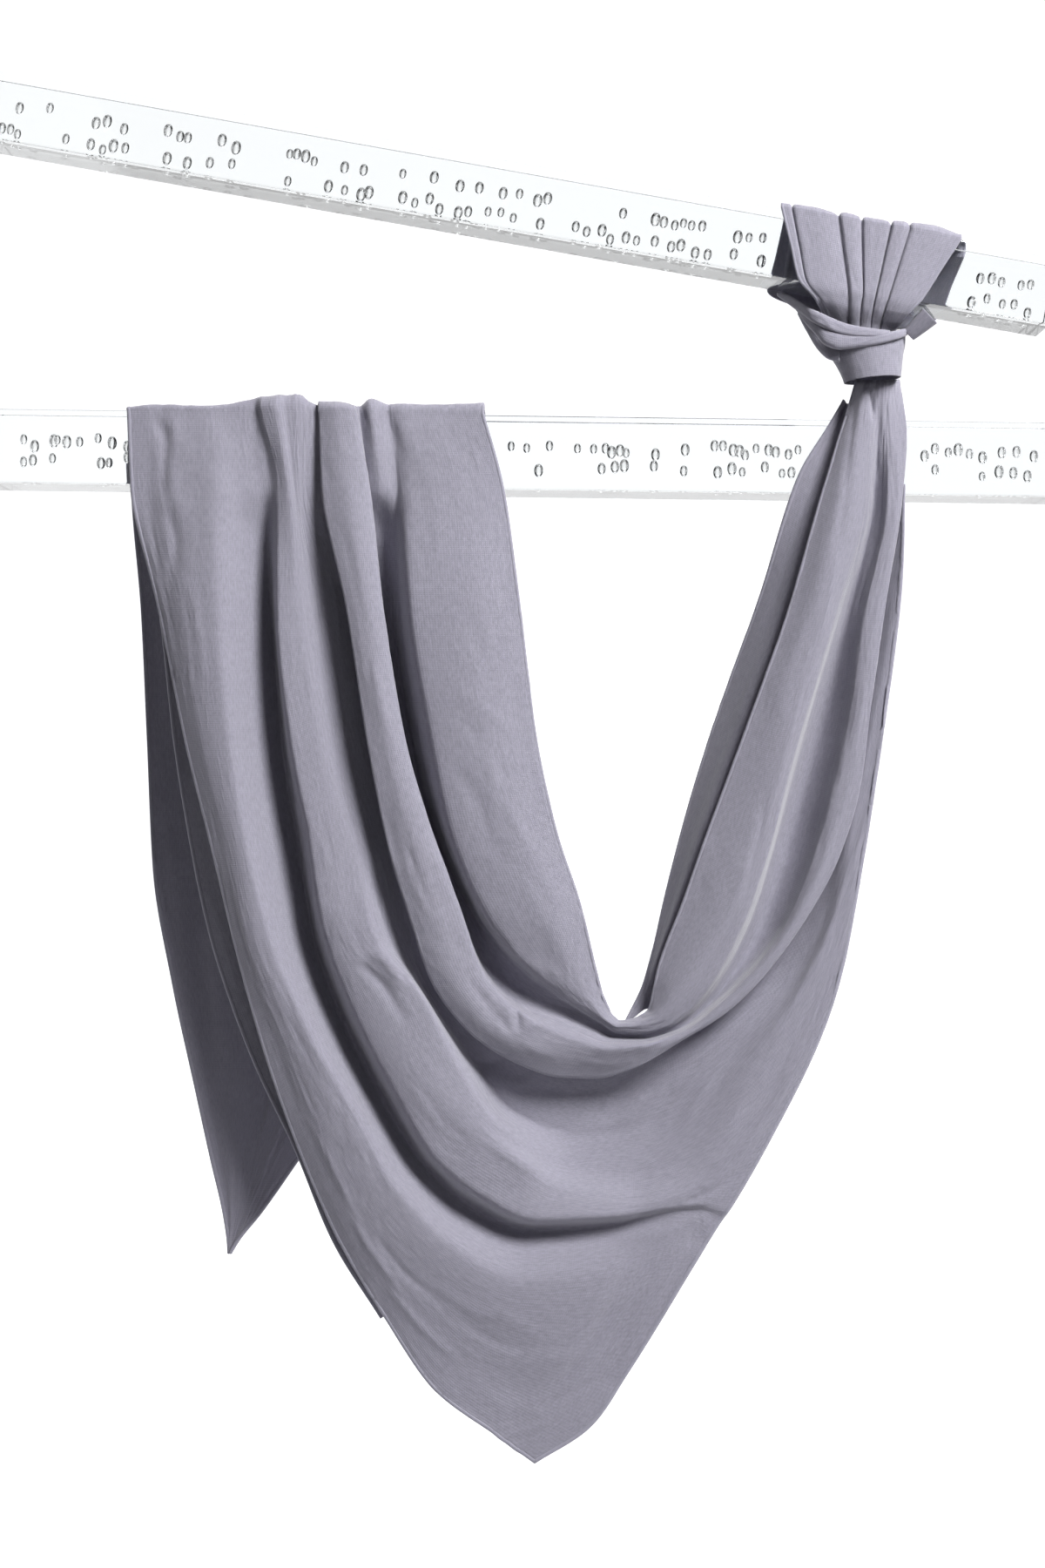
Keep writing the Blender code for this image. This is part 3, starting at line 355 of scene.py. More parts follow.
BACK_CREASES = [
    ((92, 330), (96, 380), (100, 430), 6, -1.6), ((120, 300), (124, 380), (126, 460), 8, 2.0),
    ((150, 290), (150, 380), (148, 480), 9, -2.4), ((190, 290), (186, 380), (178, 500), 9, 2.4),
    ((228, 290), (222, 380), (208, 500), 8, -2.2), ((110, 470), (116, 540), (122, 610), 5, 1.4),
    ((140, 500), (142, 560), (142, 630), 5, -1.4), ((170, 520), (164, 580), (154, 640), 5, 1.4),
    ((96, 470), (104, 530), (112, 590), 4, -0.9), ((206, 440), (200, 500), (188, 560), 5, 1.2),
    ((118, 620), (124, 650), (130, 690), 3, 0.7), ((136, 640), (138, 670), (136, 700), 3, -0.6),
]


def seen(across, down, out):
    """Where a point shows at (across, down) and stands `out` in front, as arrays of millimetres."""
    nearer = 1 - out / EYE_DISTANCE
    x = EYE_ACROSS + (across - EYE_ACROSS) * nearer
    z = -(EYE_DOWN + (down - EYE_DOWN) * nearer)
    return np.stack(np.broadcast_arrays(x, -np.asarray(out, float), z), axis=-1)


def lower_top(across):
    """How far down the lower rod's top edge is."""
    return LOWER_TOP + LOWER_SLOPE * across


ORIGIN = seen(ROD_FROM, lower_top(ROD_FROM), 0.0) + np.array([0, LOWER_SIDE / 2, -LOWER_SIDE / 2])
ORIGIN[0] -= LOWER_SIDE / 2 * math.sin(math.atan(LOWER_SLOPE))


def looked_at(points):
    """The across and down at which points in millimetres show."""
    nearer = 1 + points[..., 1] / EYE_DISTANCE
    across = EYE_ACROSS + (points[..., 0] - EYE_ACROSS) / nearer
    down = EYE_DOWN + (-points[..., 2] - EYE_DOWN) / nearer
    return across, down


def smooth_through(knots, values, at):
    """A smooth curve through the values at the knots, with no overshoot, read at each place in `at`."""
    knots = np.asarray(knots, float)
    values = np.asarray(values, float)
    at = np.clip(at, knots[0], knots[-1])
    steps = np.diff(knots).reshape((-1,) + (1,) * (values.ndim - 1))
    slopes = np.diff(values, axis=0) / steps
    before, after = slopes[:-1], slopes[1:]
    total = np.where(before * after > 0, before + after, 1.0)
    inner = np.where(before * after > 0, 2 * before * after / total, 0.0)
    tangents = np.concatenate([slopes[:1], inner, slopes[-1:]])
    i = np.clip(np.searchsorted(knots, at, side="right") - 1, 0, len(knots) - 2)
    u = ((at - knots[i]) / np.diff(knots)[i]).reshape((-1,) + (1,) * (values.ndim - 1))
    step = steps[i]
    return (
        values[i] * (2 * u**3 - 3 * u**2 + 1)
        + tangents[i] * step * (u**3 - 2 * u**2 + u)
        + values[i + 1] * (3 * u**2 - 2 * u**3)
        + tangents[i + 1] * step * (u**3 - u**2)
    )


def fold_points(rows, stations):
    """The fold line's places at these stations. Station 0 is on the rod's front, just below its edge."""
    across, _, out = rows[0][1:]
    hung = np.array([(0, across, lower_top(across), out)] + rows[1:], float)
    read = smooth_through(hung[:, 0], hung[:, 1:], np.asarray(stations, float))
    return seen(read[:, 0], read[:, 1], read[:, 2])


def over_lower_rod(rows, steps=12):
    """How the fold line crosses the rod: from the middle of its top, over the edge, to its front."""
    across, down, out = rows[0][1:]
    lift = lower_top(across) - down
    corner = seen(across, lower_top(across), 0.0)
    flat = [corner + np.array([0, LOWER_SIDE / 2 * (1 - i / steps), lift]) for i in range(steps)]
    turns = np.radians(np.linspace(0, 90, steps, endpoint=False))
    bent = [corner + np.array([0, -out * math.sin(t), lift * math.cos(t)]) for t in turns]
    return np.array(flat + bent)


def fold_columns(folds, stations):
    """Each fold line as points, over the rod and then through the stations."""
    return [np.concatenate([over_lower_rod(rows), fold_points(rows, stations)]) for rows in folds.values()]


def between_folds(columns, steps):
    """A grid of points with `steps` short steps from each fold line to the next."""
    grid = np.stack(columns)
    at = np.linspace(0, len(columns) - 1, (len(columns) - 1) * steps + 1)
    return smooth_through(np.arange(len(columns)), grid, at).transpose(1, 0, 2)


def spread(start, end, step_count):
    return np.linspace(start, end, step_count + 1)


def rough(seed, u, v, wide, long):
    """Smooth random heights from -1 to 1, about `wide` by `long` millimetres each."""
    table = np.random.default_rng(seed).uniform(-1, 1, (128, 128))
    x, y = u / wide, v / long
    i, j = np.floor(x).astype(int), np.floor(y).astype(int)
    s, t = x - i, y - j
    s, t = s * s * (3 - 2 * s), t * t * (3 - 2 * t)
    near = table[i % 128, j % 128] * (1 - s) + table[(i + 1) % 128, j % 128] * s
    far = table[i % 128, (j + 1) % 128] * (1 - s) + table[(i + 1) % 128, (j + 1) % 128] * s
    return near * (1 - t) + far * t


def normals_of(grid):
    along = np.gradient(grid, axis=0)
    across = np.gradient(grid, axis=1)
    normal = np.cross(across, along)
    length = np.linalg.norm(normal, axis=-1, keepdims=True)
    return normal / np.maximum(length, 1e-9)


def cloth_measure(grid):
    """Each point's place in the cloth: millimetres across and along it."""
    across = np.linalg.norm(np.diff(grid, axis=1), axis=-1)
    along = np.linalg.norm(np.diff(grid, axis=0), axis=-1)
    wide = np.concatenate([[0], np.cumsum(np.quantile(across, 0.7, axis=0))])
    long = np.concatenate([[0], np.cumsum(along.mean(axis=1))])
    return np.broadcast_to(wide, grid.shape[:2]), np.broadcast_to(long[:, None], grid.shape[:2])


def crinkled(grid, seed, depth):
    """Fine crinkles, stronger in some patches than in others, as in cloth that was twisted wet."""
    u, v = cloth_measure(grid)
    bend = u + 5 * rough(seed + 5, u, v, 30, 60)
    ridges = 1 - 2 * np.abs(rough(seed, bend, v, 7.5, 34))
    fine = 1 - 2 * np.abs(rough(seed + 1, bend + 0.25 * v, v, 3.6, 15))
    cross = 1 - 2 * np.abs(rough(seed + 2, u - 0.5 * v, v + 0.6 * u, 6, 19))
    where = np.clip(0.5 + 1.1 * rough(seed + 3, u, v, 34, 58), 0.06, 1)
    where_cross = np.clip(1.4 * rough(seed + 4, u, v, 40, 44), 0, 1)
    height = depth * (0.55 * ridges * where + 0.3 * fine * where + 0.5 * cross * where_cross)
    height += 0.5 * rough(seed + 6, u, v, 16, 70)
    return grid + normals_of(grid) * height[..., None]


def creased(grid, creases, behind=False):
    """Presses each crease into the cloth where it shows from the front."""
    across, down = looked_at(grid)
    height = np.zeros(grid.shape[:2])
    for start, middle, end, half_width, lift in creases:
        line = smooth_through([0, 1, 2], np.array([start, middle, end], float), np.linspace(0, 2, 15))
        nearest = np.full(grid.shape[:2], 1e9)
        share = np.zeros(grid.shape[:2])
        for i, (a, b) in enumerate(zip(line, line[1:])):
            run = b - a
            t = ((across - a[0]) * run[0] + (down - a[1]) * run[1]) / max(run @ run, 1e-9)
            t = np.clip(t, 0, 1)
            gap = np.hypot(across - a[0] - t * run[0], down - a[1] - t * run[1])
            share = np.where(gap < nearest, (i + t) / 14, share)
            nearest = np.minimum(nearest, gap)
        fade = np.clip(4 * share * (1 - share), 0, 1) ** 0.7
        height += lift * fade * np.exp(-((nearest / half_width) ** 2) * 1.6)
    toward = np.array([0, 1.0 if behind else -1.0, 0])
    return grid + toward * height[..., None]


def to_frame(points):
    return (points - ORIGIN) * MM


def mesh_of(name, grid, closed=False):
    """A mesh through a grid of points, with its place in the cloth, in metres, as its UV map."""
    rows, columns = grid.shape[:2]
    index = np.arange(rows * columns).reshape(rows, columns)
    right = np.roll(index, -1, axis=1) if closed else index[:, 1:]
    left = index if closed else index[:, :-1]
    faces = np.stack([left[:-1], right[:-1], right[1:], left[1:]], axis=-1).reshape(-1, 4)
    mesh = bpy.data.meshes.new(name)
    mesh.from_pydata(to_frame(grid.reshape(-1, 3)).tolist(), [], faces.tolist())
    u, v = cloth_measure(grid)
    places = np.stack([u.reshape(-1), v.reshape(-1)], axis=-1) * MM
    layer = mesh.uv_layers.new(name="cloth")
    layer.data.foreach_set("uv", places[faces.reshape(-1)].reshape(-1).astype(np.float32))
    mesh.shade_smooth()
    return mesh


def mesh_from(name, form):
    mesh = bpy.data.meshes.new(name)
    form.to_mesh(mesh)
    form.free()
    return mesh


def shown(name, mesh, material):
    piece = bpy.data.objects.new(name, mesh)
    bpy.context.scene.collection.objects.link(piece)
    piece.data.materials.append(material)
    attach(piece, "root")
    return piece


def cloth_piece(name, grid, material, thickness, closed=False):
    piece = shown(name, mesh_of(name, grid, closed), material)
    thick = piece.modifiers.new("cloth thickness", "SOLIDIFY")
    thick.thickness = thickness * MM
    thick.offset = 0.0
    return piece


def hem_piece(name, edges, material, half_width=1.5, half_height=0.75):
    """Narrow rolled hems along lines of points, nipped in at each stitch."""
    form = bmesh.new()
    for edge, inward in edges:
        lengths = np.concatenate([[0], np.cumsum(np.linalg.norm(np.diff(edge, axis=0), axis=-1))])
        count = max(int(lengths[-1] / 1.0), 4)
        at = np.linspace(0, lengths[-1], count)
        path = np.stack([np.interp(at, lengths, edge[:, k]) for k in range(3)], axis=-1)
        inside = np.stack([np.interp(at, lengths, inward[:, k]) for k in range(3)], axis=-1) - path
        along = np.gradient(path, axis=0)
        along /= np.linalg.norm(along, axis=-1, keepdims=True)
        inside -= along * (inside * along).sum(axis=-1, keepdims=True)
        inside /= np.maximum(np.linalg.norm(inside, axis=-1, keepdims=True), 1e-9)
        up = np.cross(inside, along)
        path = path + inside * half_width * 0.8
        rings = []
        for i in range(count):
            nip = 1 - STITCH_NIP * (i % STITCH_EVERY == 0)
            ring = []
            for turn in np.linspace(0, 2 * math.pi, HEM_SIDES, endpoint=False):
                point = path[i] + inside[i] * half_width * math.cos(turn)
                point = point + up[i] * half_height * nip * math.sin(turn)
                ring.append(form.verts.new(to_frame(point)))
            rings.append(ring)
        for near, far in zip(rings, rings[1:]):
            for k in range(HEM_SIDES):
                following = (k + 1) % HEM_SIDES
                form.faces.new((near[k], near[following], far[following], far[k]))
        form.faces.new(rings[0][::-1])
        form.faces.new(rings[-1])
    bmesh.ops.recalc_face_normals(form, faces=form.faces)
    mesh = mesh_from(name, form)
    mesh.shade_smooth()
    return shown(name, mesh, material)


def linear(hex_colour):
    """A sRGB hex colour as the linear colour that the shader takes."""
    values = [int(hex_colour[i : i + 2], 16) / 255 for i in (1, 3, 5)]
    return tuple(v / 12.92 if v <= 0.04045 else ((v + 0.055) / 1.055) ** 2.4 for v in values) + (1.0,)


def add_node(tree, kind, settings=None, inputs=None, links=None):
    """One node with its settings, its constant inputs and the sockets that feed it."""
    node = tree.nodes.new(kind)
    for name, value in (settings or {}).items():
        setattr(node, name, value)
    for name, value in (inputs or {}).items():
        node.inputs[name].default_value = value
    for name, socket in (links or {}).items():
        tree.links.new(socket, node.inputs[name])
    return node


def crinkled_cotton_voile(name, colours, weave_mm, crinkle_mm):
    """Cotton voile that was twisted wet and dried: matt, slightly heathered, with a soft bloom at the edges
    of its folds. Its threads are 0.35 mm apart, too fine to show, so the weave is drawn coarser."""
    material = bpy.data.materials.new(name)
    material.use_nodes = True
    tree = material.node_tree
    shader = tree.nodes["Principled BSDF"]
    shader.inputs["Roughness"].default_value = 0.88
    shader.inputs["Sheen Weight"].default_value = 0.35
    shader.inputs["Sheen Roughness"].default_value = 0.45
    shader.inputs["Specular IOR Level"].default_value = 0.25
    shader.inputs["Subsurface Weight"].default_value = 0.3
    shader.inputs["Subsurface Radius"].default_value = (1.0, 0.95, 1.1)
    shader.inputs["Subsurface Scale"].default_value = 1.2 * MM
    place = add_node(tree, "ShaderNodeUVMap", {"uv_map": "cloth"}).outputs["UV"]
    drawn = add_node(tree, "ShaderNodeMapping", None, {"Scale": (1.0, 0.3, 1.0)}, {"Vector": place})
    heather = add_node(
        tree, "ShaderNodeTexNoise", None,
        {"Scale": 1 / (1.3 * MM), "Detail": 4.0, "Roughness": 0.75}, {"Vector": drawn.outputs["Vector"]},
    )
    tint = add_node(tree, "ShaderNodeValToRGB", None, None, {"Fac": heather.outputs["Fac"]})
    tint.color_ramp.elements[0].position = 0.3
    tint.color_ramp.elements[0].color = linear(colours[0])
    tint.color_ramp.elements[1].position = 0.7
    tint.color_ramp.elements[1].color = linear(colours[1])
    tree.links.new(tint.outputs["Color"], shader.inputs["Base Color"])
    warp = add_node(
        tree, "ShaderNodeTexWave", {"wave_type": "BANDS", "bands_direction": "X"},
        {"Scale": 0.314 / (weave_mm * MM), "Distortion": 0.6, "Detail": 1.0}, {"Vector": place},
    )
    weft = add_node(
        tree, "ShaderNodeTexWave", {"wave_type": "BANDS", "bands_direction": "Y"},
        {"Scale": 0.314 / (weave_mm * MM), "Distortion": 0.6, "Detail": 1.0}, {"Vector": place},
    )
    weave = add_node(
        tree, "ShaderNodeMath", {"operation": "MAXIMUM"}, None,
        {0: warp.outputs["Fac"], 1: weft.outputs["Fac"]},
    )
    squeezed = add_node(
        tree, "ShaderNodeMapping", None, {"Scale": (1.0, 0.32, 1.0)}, {"Vector": place}
    )
    crinkle = add_node(
        tree, "ShaderNodeTexNoise", {"noise_type": "RIDGED_MULTIFRACTAL"},
        {"Scale": 1 / (crinkle_mm * MM), "Detail": 3.0}, {"Vector": squeezed.outputs["Vector"]},
    )
    low = add_node(
        tree, "ShaderNodeBump", None, {"Strength": 0.6, "Distance": 0.5 * MM},
        {"Height": crinkle.outputs["Fac"]},
    )
    high = add_node(
        tree, "ShaderNodeBump", None, {"Strength": 0.5, "Distance": 0.15 * MM},
        {"Height": weave.outputs[0], "Normal": low.outputs["Normal"]},
    )
    tree.links.new(high.outputs["Normal"], shader.inputs["Normal"])
    return material


def cast_acrylic(name, tint):
    """Cast acrylic, polished: water clear, so that only its edges, its bubbles and what it bends show."""
    material = bpy.data.materials.new(name)
    material.use_nodes = True
    tree = material.node_tree
    shader = tree.nodes["Principled BSDF"]
    shader.inputs["Base Color"].default_value = tint
    shader.inputs["Roughness"].default_value = 0.02
    shader.inputs["IOR"].default_value = 1.49
    shader.inputs["Transmission Weight"].default_value = 1.0
    place = add_node(tree, "ShaderNodeTexCoord").outputs["Object"]
    waves = add_node(tree, "ShaderNodeTexNoise", None, {"Scale": 1 / (60 * MM)}, {"Vector": place})
    bump = add_node(
        tree, "ShaderNodeBump", None, {"Strength": 0.03, "Distance": 1 * MM},
        {"Height": waves.outputs["Fac"]},
    )
    tree.links.new(bump.outputs["Normal"], shader.inputs["Normal"])
    return material


def trapped_air(name):
    """Walls of the air bubbles in the acrylic. They face into the air, so each shows as a dark ring."""
    material = bpy.data.materials.new(name)
    material.use_nodes = True
    shader = material.node_tree.nodes["Principled BSDF"]
    shader.inputs["Base Color"].default_value = (1, 1, 1, 1)
    shader.inputs["Roughness"].default_value = 0.0
    shader.inputs["IOR"].default_value = 1.49
    shader.inputs["Transmission Weight"].default_value = 1.0
    return material


def dim_room(name, front, behind):
    """A white room, lit behind the object and dim in front of it, so that folds and rods show dark sides."""
    world = bpy.data.worlds.new(name)
    world.use_nodes = True
    tree = world.node_tree
    way = add_node(tree, "ShaderNodeTexCoord").outputs["Generated"]
    parts = add_node(tree, "ShaderNodeSeparateXYZ", None, None, {"Vector": way})
    strength = add_node(
        tree, "ShaderNodeMapRange", None,
        {"From Min": -0.3, "From Max": 0.6, "To Min": front, "To Max": behind}, {"Value": parts.outputs["Y"]},
    )
    tree.links.new(strength.outputs["Result"], tree.nodes["Background"].inputs["Strength"])
    tree.nodes["Background"].inputs["Color"].default_value = (1, 1, 1, 1)
    return world


def white_paper(name, colour, glow):
    """Matt white background paper, lit from behind where it hangs, and not where it lies in front."""
    material = bpy.data.materials.new(name)
    material.use_nodes = True
    tree = material.node_tree
    shader = tree.nodes["Principled BSDF"]
    place = add_node(tree, "ShaderNodeNewGeometry").outputs["Position"]
    parts = add_node(tree, "ShaderNodeSeparateXYZ", None, None, {"Vector": place})
    strength = add_node(
        tree, "ShaderNodeMapRange", None,
        {"From Min": -0.2, "From Max": 0.25, "To Min": 0.0, "To Max": glow}, {"Value": parts.outputs["Y"]},
    )
    tree.links.new(strength.outputs["Result"], shader.inputs["Emission Strength"])
    shader.inputs["Base Color"].default_value = colour
    shader.inputs["Roughness"].default_value = 1.0
    shader.inputs["Specular IOR Level"].default_value = 0.0
    shader.inputs["Emission Color"].default_value = (1, 1, 1, 1)
    return material


def voile(name, looks, light_tone_and_hem_highlight, crinkle_mm):
    """The voile of this name, made the first time that it is asked for."""
    found = bpy.data.materials.get(name)
    if found:
        return found
    # For the cloth the lighter colour is its pale heather tone; for the hems it is a painted highlight.
    colours = (to_hex(looks.shade_colour), to_hex(light_tone_and_hem_highlight))
    return crinkled_cotton_voile(name, colours, looks.weave_mm, crinkle_mm)


def cloth_material(context):
    looks = context.scene.scarf_looks
    return voile("crinkled cotton voile", looks, looks.light_colour, looks.crinkle_mm)


def hem_material(context):
    looks = context.scene.scarf_looks
    # The hems' voile runs up to a lighter colour than the cloth's. That is a painted highlight for the light
    # that their rolled edges catch.
    return voile("rolled voile hem, painted highlight", looks, looks.hem_highlight_colour, HEM_CRINKLE_MM)


def to_hex(colour):
    """The sRGB hex of a colour that Blender keeps as sRGB from 0 to 1."""
    return "#" + "".join(f"{round(255 * max(0.0, min(1.0, v))):02x}" for v in colour[:3])


class ScarfSizes(PropertyGroup):
    """Sizes of the cloth and of what is in the rods."""

    cloth_mm: FloatProperty(name="Cloth thickness", description="Thickness of the cloth, in mm", default=0.7)
    crinkle_mm: FloatProperty(name="Crinkle depth", description="Depth of the crinkles, in mm", default=0.55)
    bevel_mm: FloatProperty(
        name="Rod edge", description="Radius of the rods' polished edges, in mm", default=0.9,
    )
    bubble_mm: FloatProperty(
        name="Bubble", description="Half length of a bubble in the rods, in mm", default=4.2,
    )


class ScarfLooks(PropertyGroup):
    """Colours and patterns, colours as sRGB."""

    light_colour: FloatVectorProperty(
        name="Cloth", description="Colour of the cloth's raised threads", subtype="COLOR_GAMMA", size=3,
        default=(0.58, 0.572, 0.622), min=0, max=1,
    )
    shade_colour: FloatVectorProperty(
        name="Cloth, darker", description="Colour between the threads", subtype="COLOR_GAMMA", size=3,
        default=(0.50, 0.493, 0.537), min=0, max=1,
    )
    # The hems' colour is lighter than the cloth's. That is a painted highlight for the light that their
    # rolled edges catch.
    hem_highlight_colour: FloatVectorProperty(
        name="Hem", description="Colour of the rolled hems", subtype="COLOR_GAMMA", size=3,
        default=(0.62, 0.612, 0.665), min=0, max=1,
    )
    weave_mm: FloatProperty(name="Weave", description="Spacing of the drawn threads, in mm", default=1.1)
    crinkle_mm: FloatProperty(name="Crinkle", description="Width of the finest crinkles, in mm", default=5.0)


class SCARF_OT_inner_band(Operator):
    """Builds the inner folds, from the lower rod down, through the swag and up to the knot"""

    bl_idname = "scarf.inner_band"
    bl_label = "Inner band"

    def execute(self, context):
        sizes = context.scene.scarf_sizes
        stations = np.concatenate([spread(0, 8, 170), spread(8, 13, 110)[1:], spread(13, 20, 150)[1:]])
        grid = between_folds(fold_columns(INNER_FOLDS, stations), 10)
        grid = creased(grid, INNER_CREASES)
        grid = crinkled(grid, 11, sizes.crinkle_mm)
        band = cloth_piece("inner_band", grid, cloth_material(context), sizes.cloth_mm)
        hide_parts("inner_fall", "inner_rise")
        hem = hem_piece("inner_hem", [(grid[:, 0], grid[:, 3])], hem_material(context), 1.0, 0.6)
        return {"FINISHED"}


class SCARF_OT_outer_fall(Operator):
    """Builds the outer folds, from the lower rod to the bottom point and the right hem"""

    bl_idname = "scarf.outer_fall"
    bl_label = "Outer fall"

    def execute(self, context):
        sizes = context.scene.scarf_sizes
        stations = np.concatenate([spread(0, 10, 210), spread(10, 17, 76)[1:]])
        grid = between_folds(fold_columns(OUTER_FOLDS, stations), 11)
        grid = creased(grid, OUTER_CREASES)
        grid = crinkled(grid, 31, sizes.crinkle_mm)
        fall = cloth_piece("outer_folds", grid, cloth_material(context), sizes.cloth_mm)
        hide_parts("outer_fall")
        hem = hem_piece(
            "outer_hem", [(grid[:, -1], grid[:, -4]), (grid[-1], grid[-3])], hem_material(context), 1.3, 0.7
        )
        return {"FINISHED"}


class SCARF_OT_under_layers(Operator):
    """Builds the second layer where it shows, left of the fall and inside the rise"""

    bl_idname = "scarf.under_layers"
    bl_label = "Under layers"

    def execute(self, context):
        sizes = context.scene.scarf_sizes
        for name, rows, folds, hidden, seat, ends, drop, seed, flat, area, rest in (
            ("left_under_layer", LEFT_UNDER_EDGE, OUTER_FOLDS, "first_shoulder", "trough_floor",
             (1.5, 9), 25.0, 51, (0.08, 0.5), 0.029, "outer_folds"),
            ("right_under_layer", RIGHT_UNDER_EDGE, INNER_FOLDS, "inner_edge", "gap_floor",
             (12.035, 19.8), 9.0, 61, (0.065, 0.42), 0.021, "inner_band"),
        ):
            stations = spread(*ends, 190)
            table = np.array(rows, float)
            read = smooth_through(table[:, 0], table[:, 1:], stations)
            edge = seen(read[:, 0], read[:, 1], read[:, 2])
            first = fold_points(folds[hidden], stations) + np.array([0, drop, 0])
            last = fold_points(folds[seat], stations) + np.array([0, 2.4, 0])
            grid = between_folds([edge, (edge + first) / 2, first, (first + last) / 2, last], 12)
            u, v = cloth_measure(grid)
            inward = np.clip((u.max() - u) / u.max(), 0, 1)
            grid = grid + np.array([0, 1.0, 0]) * (1.2 * rough(seed + 9, u, v, 9, 60) * inward)[..., None]
            grid = crinkled(grid, seed, sizes.crinkle_mm * 0.8)
            layer = cloth_piece(name + "_cloth", grid, cloth_material(context), sizes.cloth_mm)
            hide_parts(name)
            hem = hem_piece(name + "_hem", [(grid[:, 0], grid[:, 3])], hem_material(context), 1.3, 0.7)
        return {"FINISHED"}


class SCARF_OT_back_fall(Operator):
    """Builds the fall behind the lower rod, to the hanging corner"""

    bl_idname = "scarf.back_fall"
    bl_label = "Back fall"

    def execute(self, context):
        sizes = context.scene.scarf_sizes
        folds = [rows for name, rows in (INNER_FOLDS | OUTER_FOLDS).items() if name != "tucked_edge"]
        tops = np.array([rows[0][1:] for rows in folds])
        across = tops[:, 0]
        lift = lower_top(across) - tops[:, 1]
        share = (across - across[-1]) / (across[0] - across[-1])
        base = seen(across, lower_top(across), 0.0)
        lines = []
        for deep in np.linspace(LOWER_SIDE / 2, LOWER_SIDE, 10, endpoint=False):
            lines.append(base + np.stack([0 * lift, 0 * lift + deep, lift], axis=-1))
        for turn in np.radians(np.linspace(0, 75, 8)):
            lines.append(base + np.stack(
                [0 * lift, LOWER_SIDE + lift * math.sin(turn), lift * math.cos(turn)], axis=-1))
        downs = np.concatenate([spread(262, 696, 190), spread(696, 719.5, 12)[1:]])
        table = np.array(BACK_ROWS, float)
        for down, (left, right, back, folds) in zip(downs, smooth_through(table[:, 0], table[:, 1:], downs)):
            hang = back + lift * folds
            lines.append(seen(left + (right - left) * share, down, -LOWER_SIDE - hang))
        columns = list(np.array(lines).transpose(1, 0, 2))
        grid = between_folds(columns, 5)
        grid = creased(grid, BACK_CREASES, behind=True)
        grid = crinkled(grid, 71, sizes.crinkle_mm * 0.8)
        fall = cloth_piece("back_folds", grid, cloth_material(context), sizes.cloth_mm)
        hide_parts("back_fall")
        hem = hem_piece(
            "back_hem", [(grid[:, 0], grid[:, 4]), (grid[:, -1], grid[:, -5]), (grid[-1], grid[-3])],
            hem_material(context), 1.3, 0.7,
        )
        return {"FINISHED"}


def on_upper_rod(across, forward, up):
    """A place in front of the upper rod's front face and above its top edge, that shows at `across`."""
    angle = math.atan(UPPER_SLOPE)
    out = UPPER_OUT + forward
    x = seen(across, EYE_DOWN, out)[0]
    foot = x - up * math.sin(angle)
    start = seen(ROD_FROM, UPPER_TOP + UPPER_SLOPE * ROD_FROM, UPPER_OUT)
    z = start[2] - (foot - start[0]) * UPPER_SLOPE + up * math.cos(angle)
    return np.array([x, -out, z])


class SCARF_OT_rod_loop(Operator):
    """Builds the pleated loop round the upper rod"""

    bl_idname = "scarf.rod_loop"
    bl_label = "Loop on the rod"

    def execute(self, context):
        sizes = context.scene.scarf_sizes
        side = UPPER_SIDE
        columns = []
        for top, front_foot, rear_foot, neck, lift in LOOP_PLEATS:
            narrow = NECK_MIDDLE + (neck - NECK_MIDDLE) * NECK_NARROWING
            bulge = 1 - ((neck - NECK_MIDDLE) / NECK_HALF_WIDTH) ** 2
            front = NECK_CORE + (NECK_FRONT - NECK_CORE) * bulge
            rear = NECK_CORE + (NECK_REAR - NECK_CORE) * bulge
            points = [seen(narrow, NECK_END, front), seen(neck, NECK_TOP, front + (lift - 1.3) * 0.5)]
            points.append(on_upper_rod((neck + front_foot) / 2, lift - 2.0, -side - 8))
            points.append(on_upper_rod(front_foot, lift, -side))
            points.append(on_upper_rod((front_foot + top) / 2, lift, -side / 2))
            for turn in np.radians((90, 60, 30, 0)):
                points.append(on_upper_rod(top, lift * math.sin(turn), lift * math.cos(turn)))
            points.append(on_upper_rod(top, -side / 2, lift))
            for turn in np.radians((0, 45, 90)):
                points.append(on_upper_rod(top, -side - lift * math.sin(turn), lift * math.cos(turn)))
            points.append(on_upper_rod((rear_foot + top) / 2, -side - lift, -side / 2))
            points.append(on_upper_rod(rear_foot, -side - lift, -side))
            points.append(on_upper_rod((neck + rear_foot) / 2, -side - lift + 5, -side - 8))
            points.append(seen(neck, NECK_TOP, rear))
            points.append(seen(narrow, NECK_END, rear))
            points = np.array(points)
            at = np.linspace(0, len(points) - 1, 170)
            columns.append(smooth_through(np.arange(len(points)), points, at))
        grid = between_folds(columns, 5)
        grid = crinkled(grid, 81, sizes.crinkle_mm * 0.5)
        loop = cloth_piece("rod_loop_cloth", grid, cloth_material(context), 0.6)
        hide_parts("rod_loop")
        hem = hem_piece(
            "rod_loop_hem", [(grid[:, 0], grid[:, 3]), (grid[:, -1], grid[:, -4])],
            hem_material(context), 0.9, 0.55,
        )
        return {"FINISHED"}


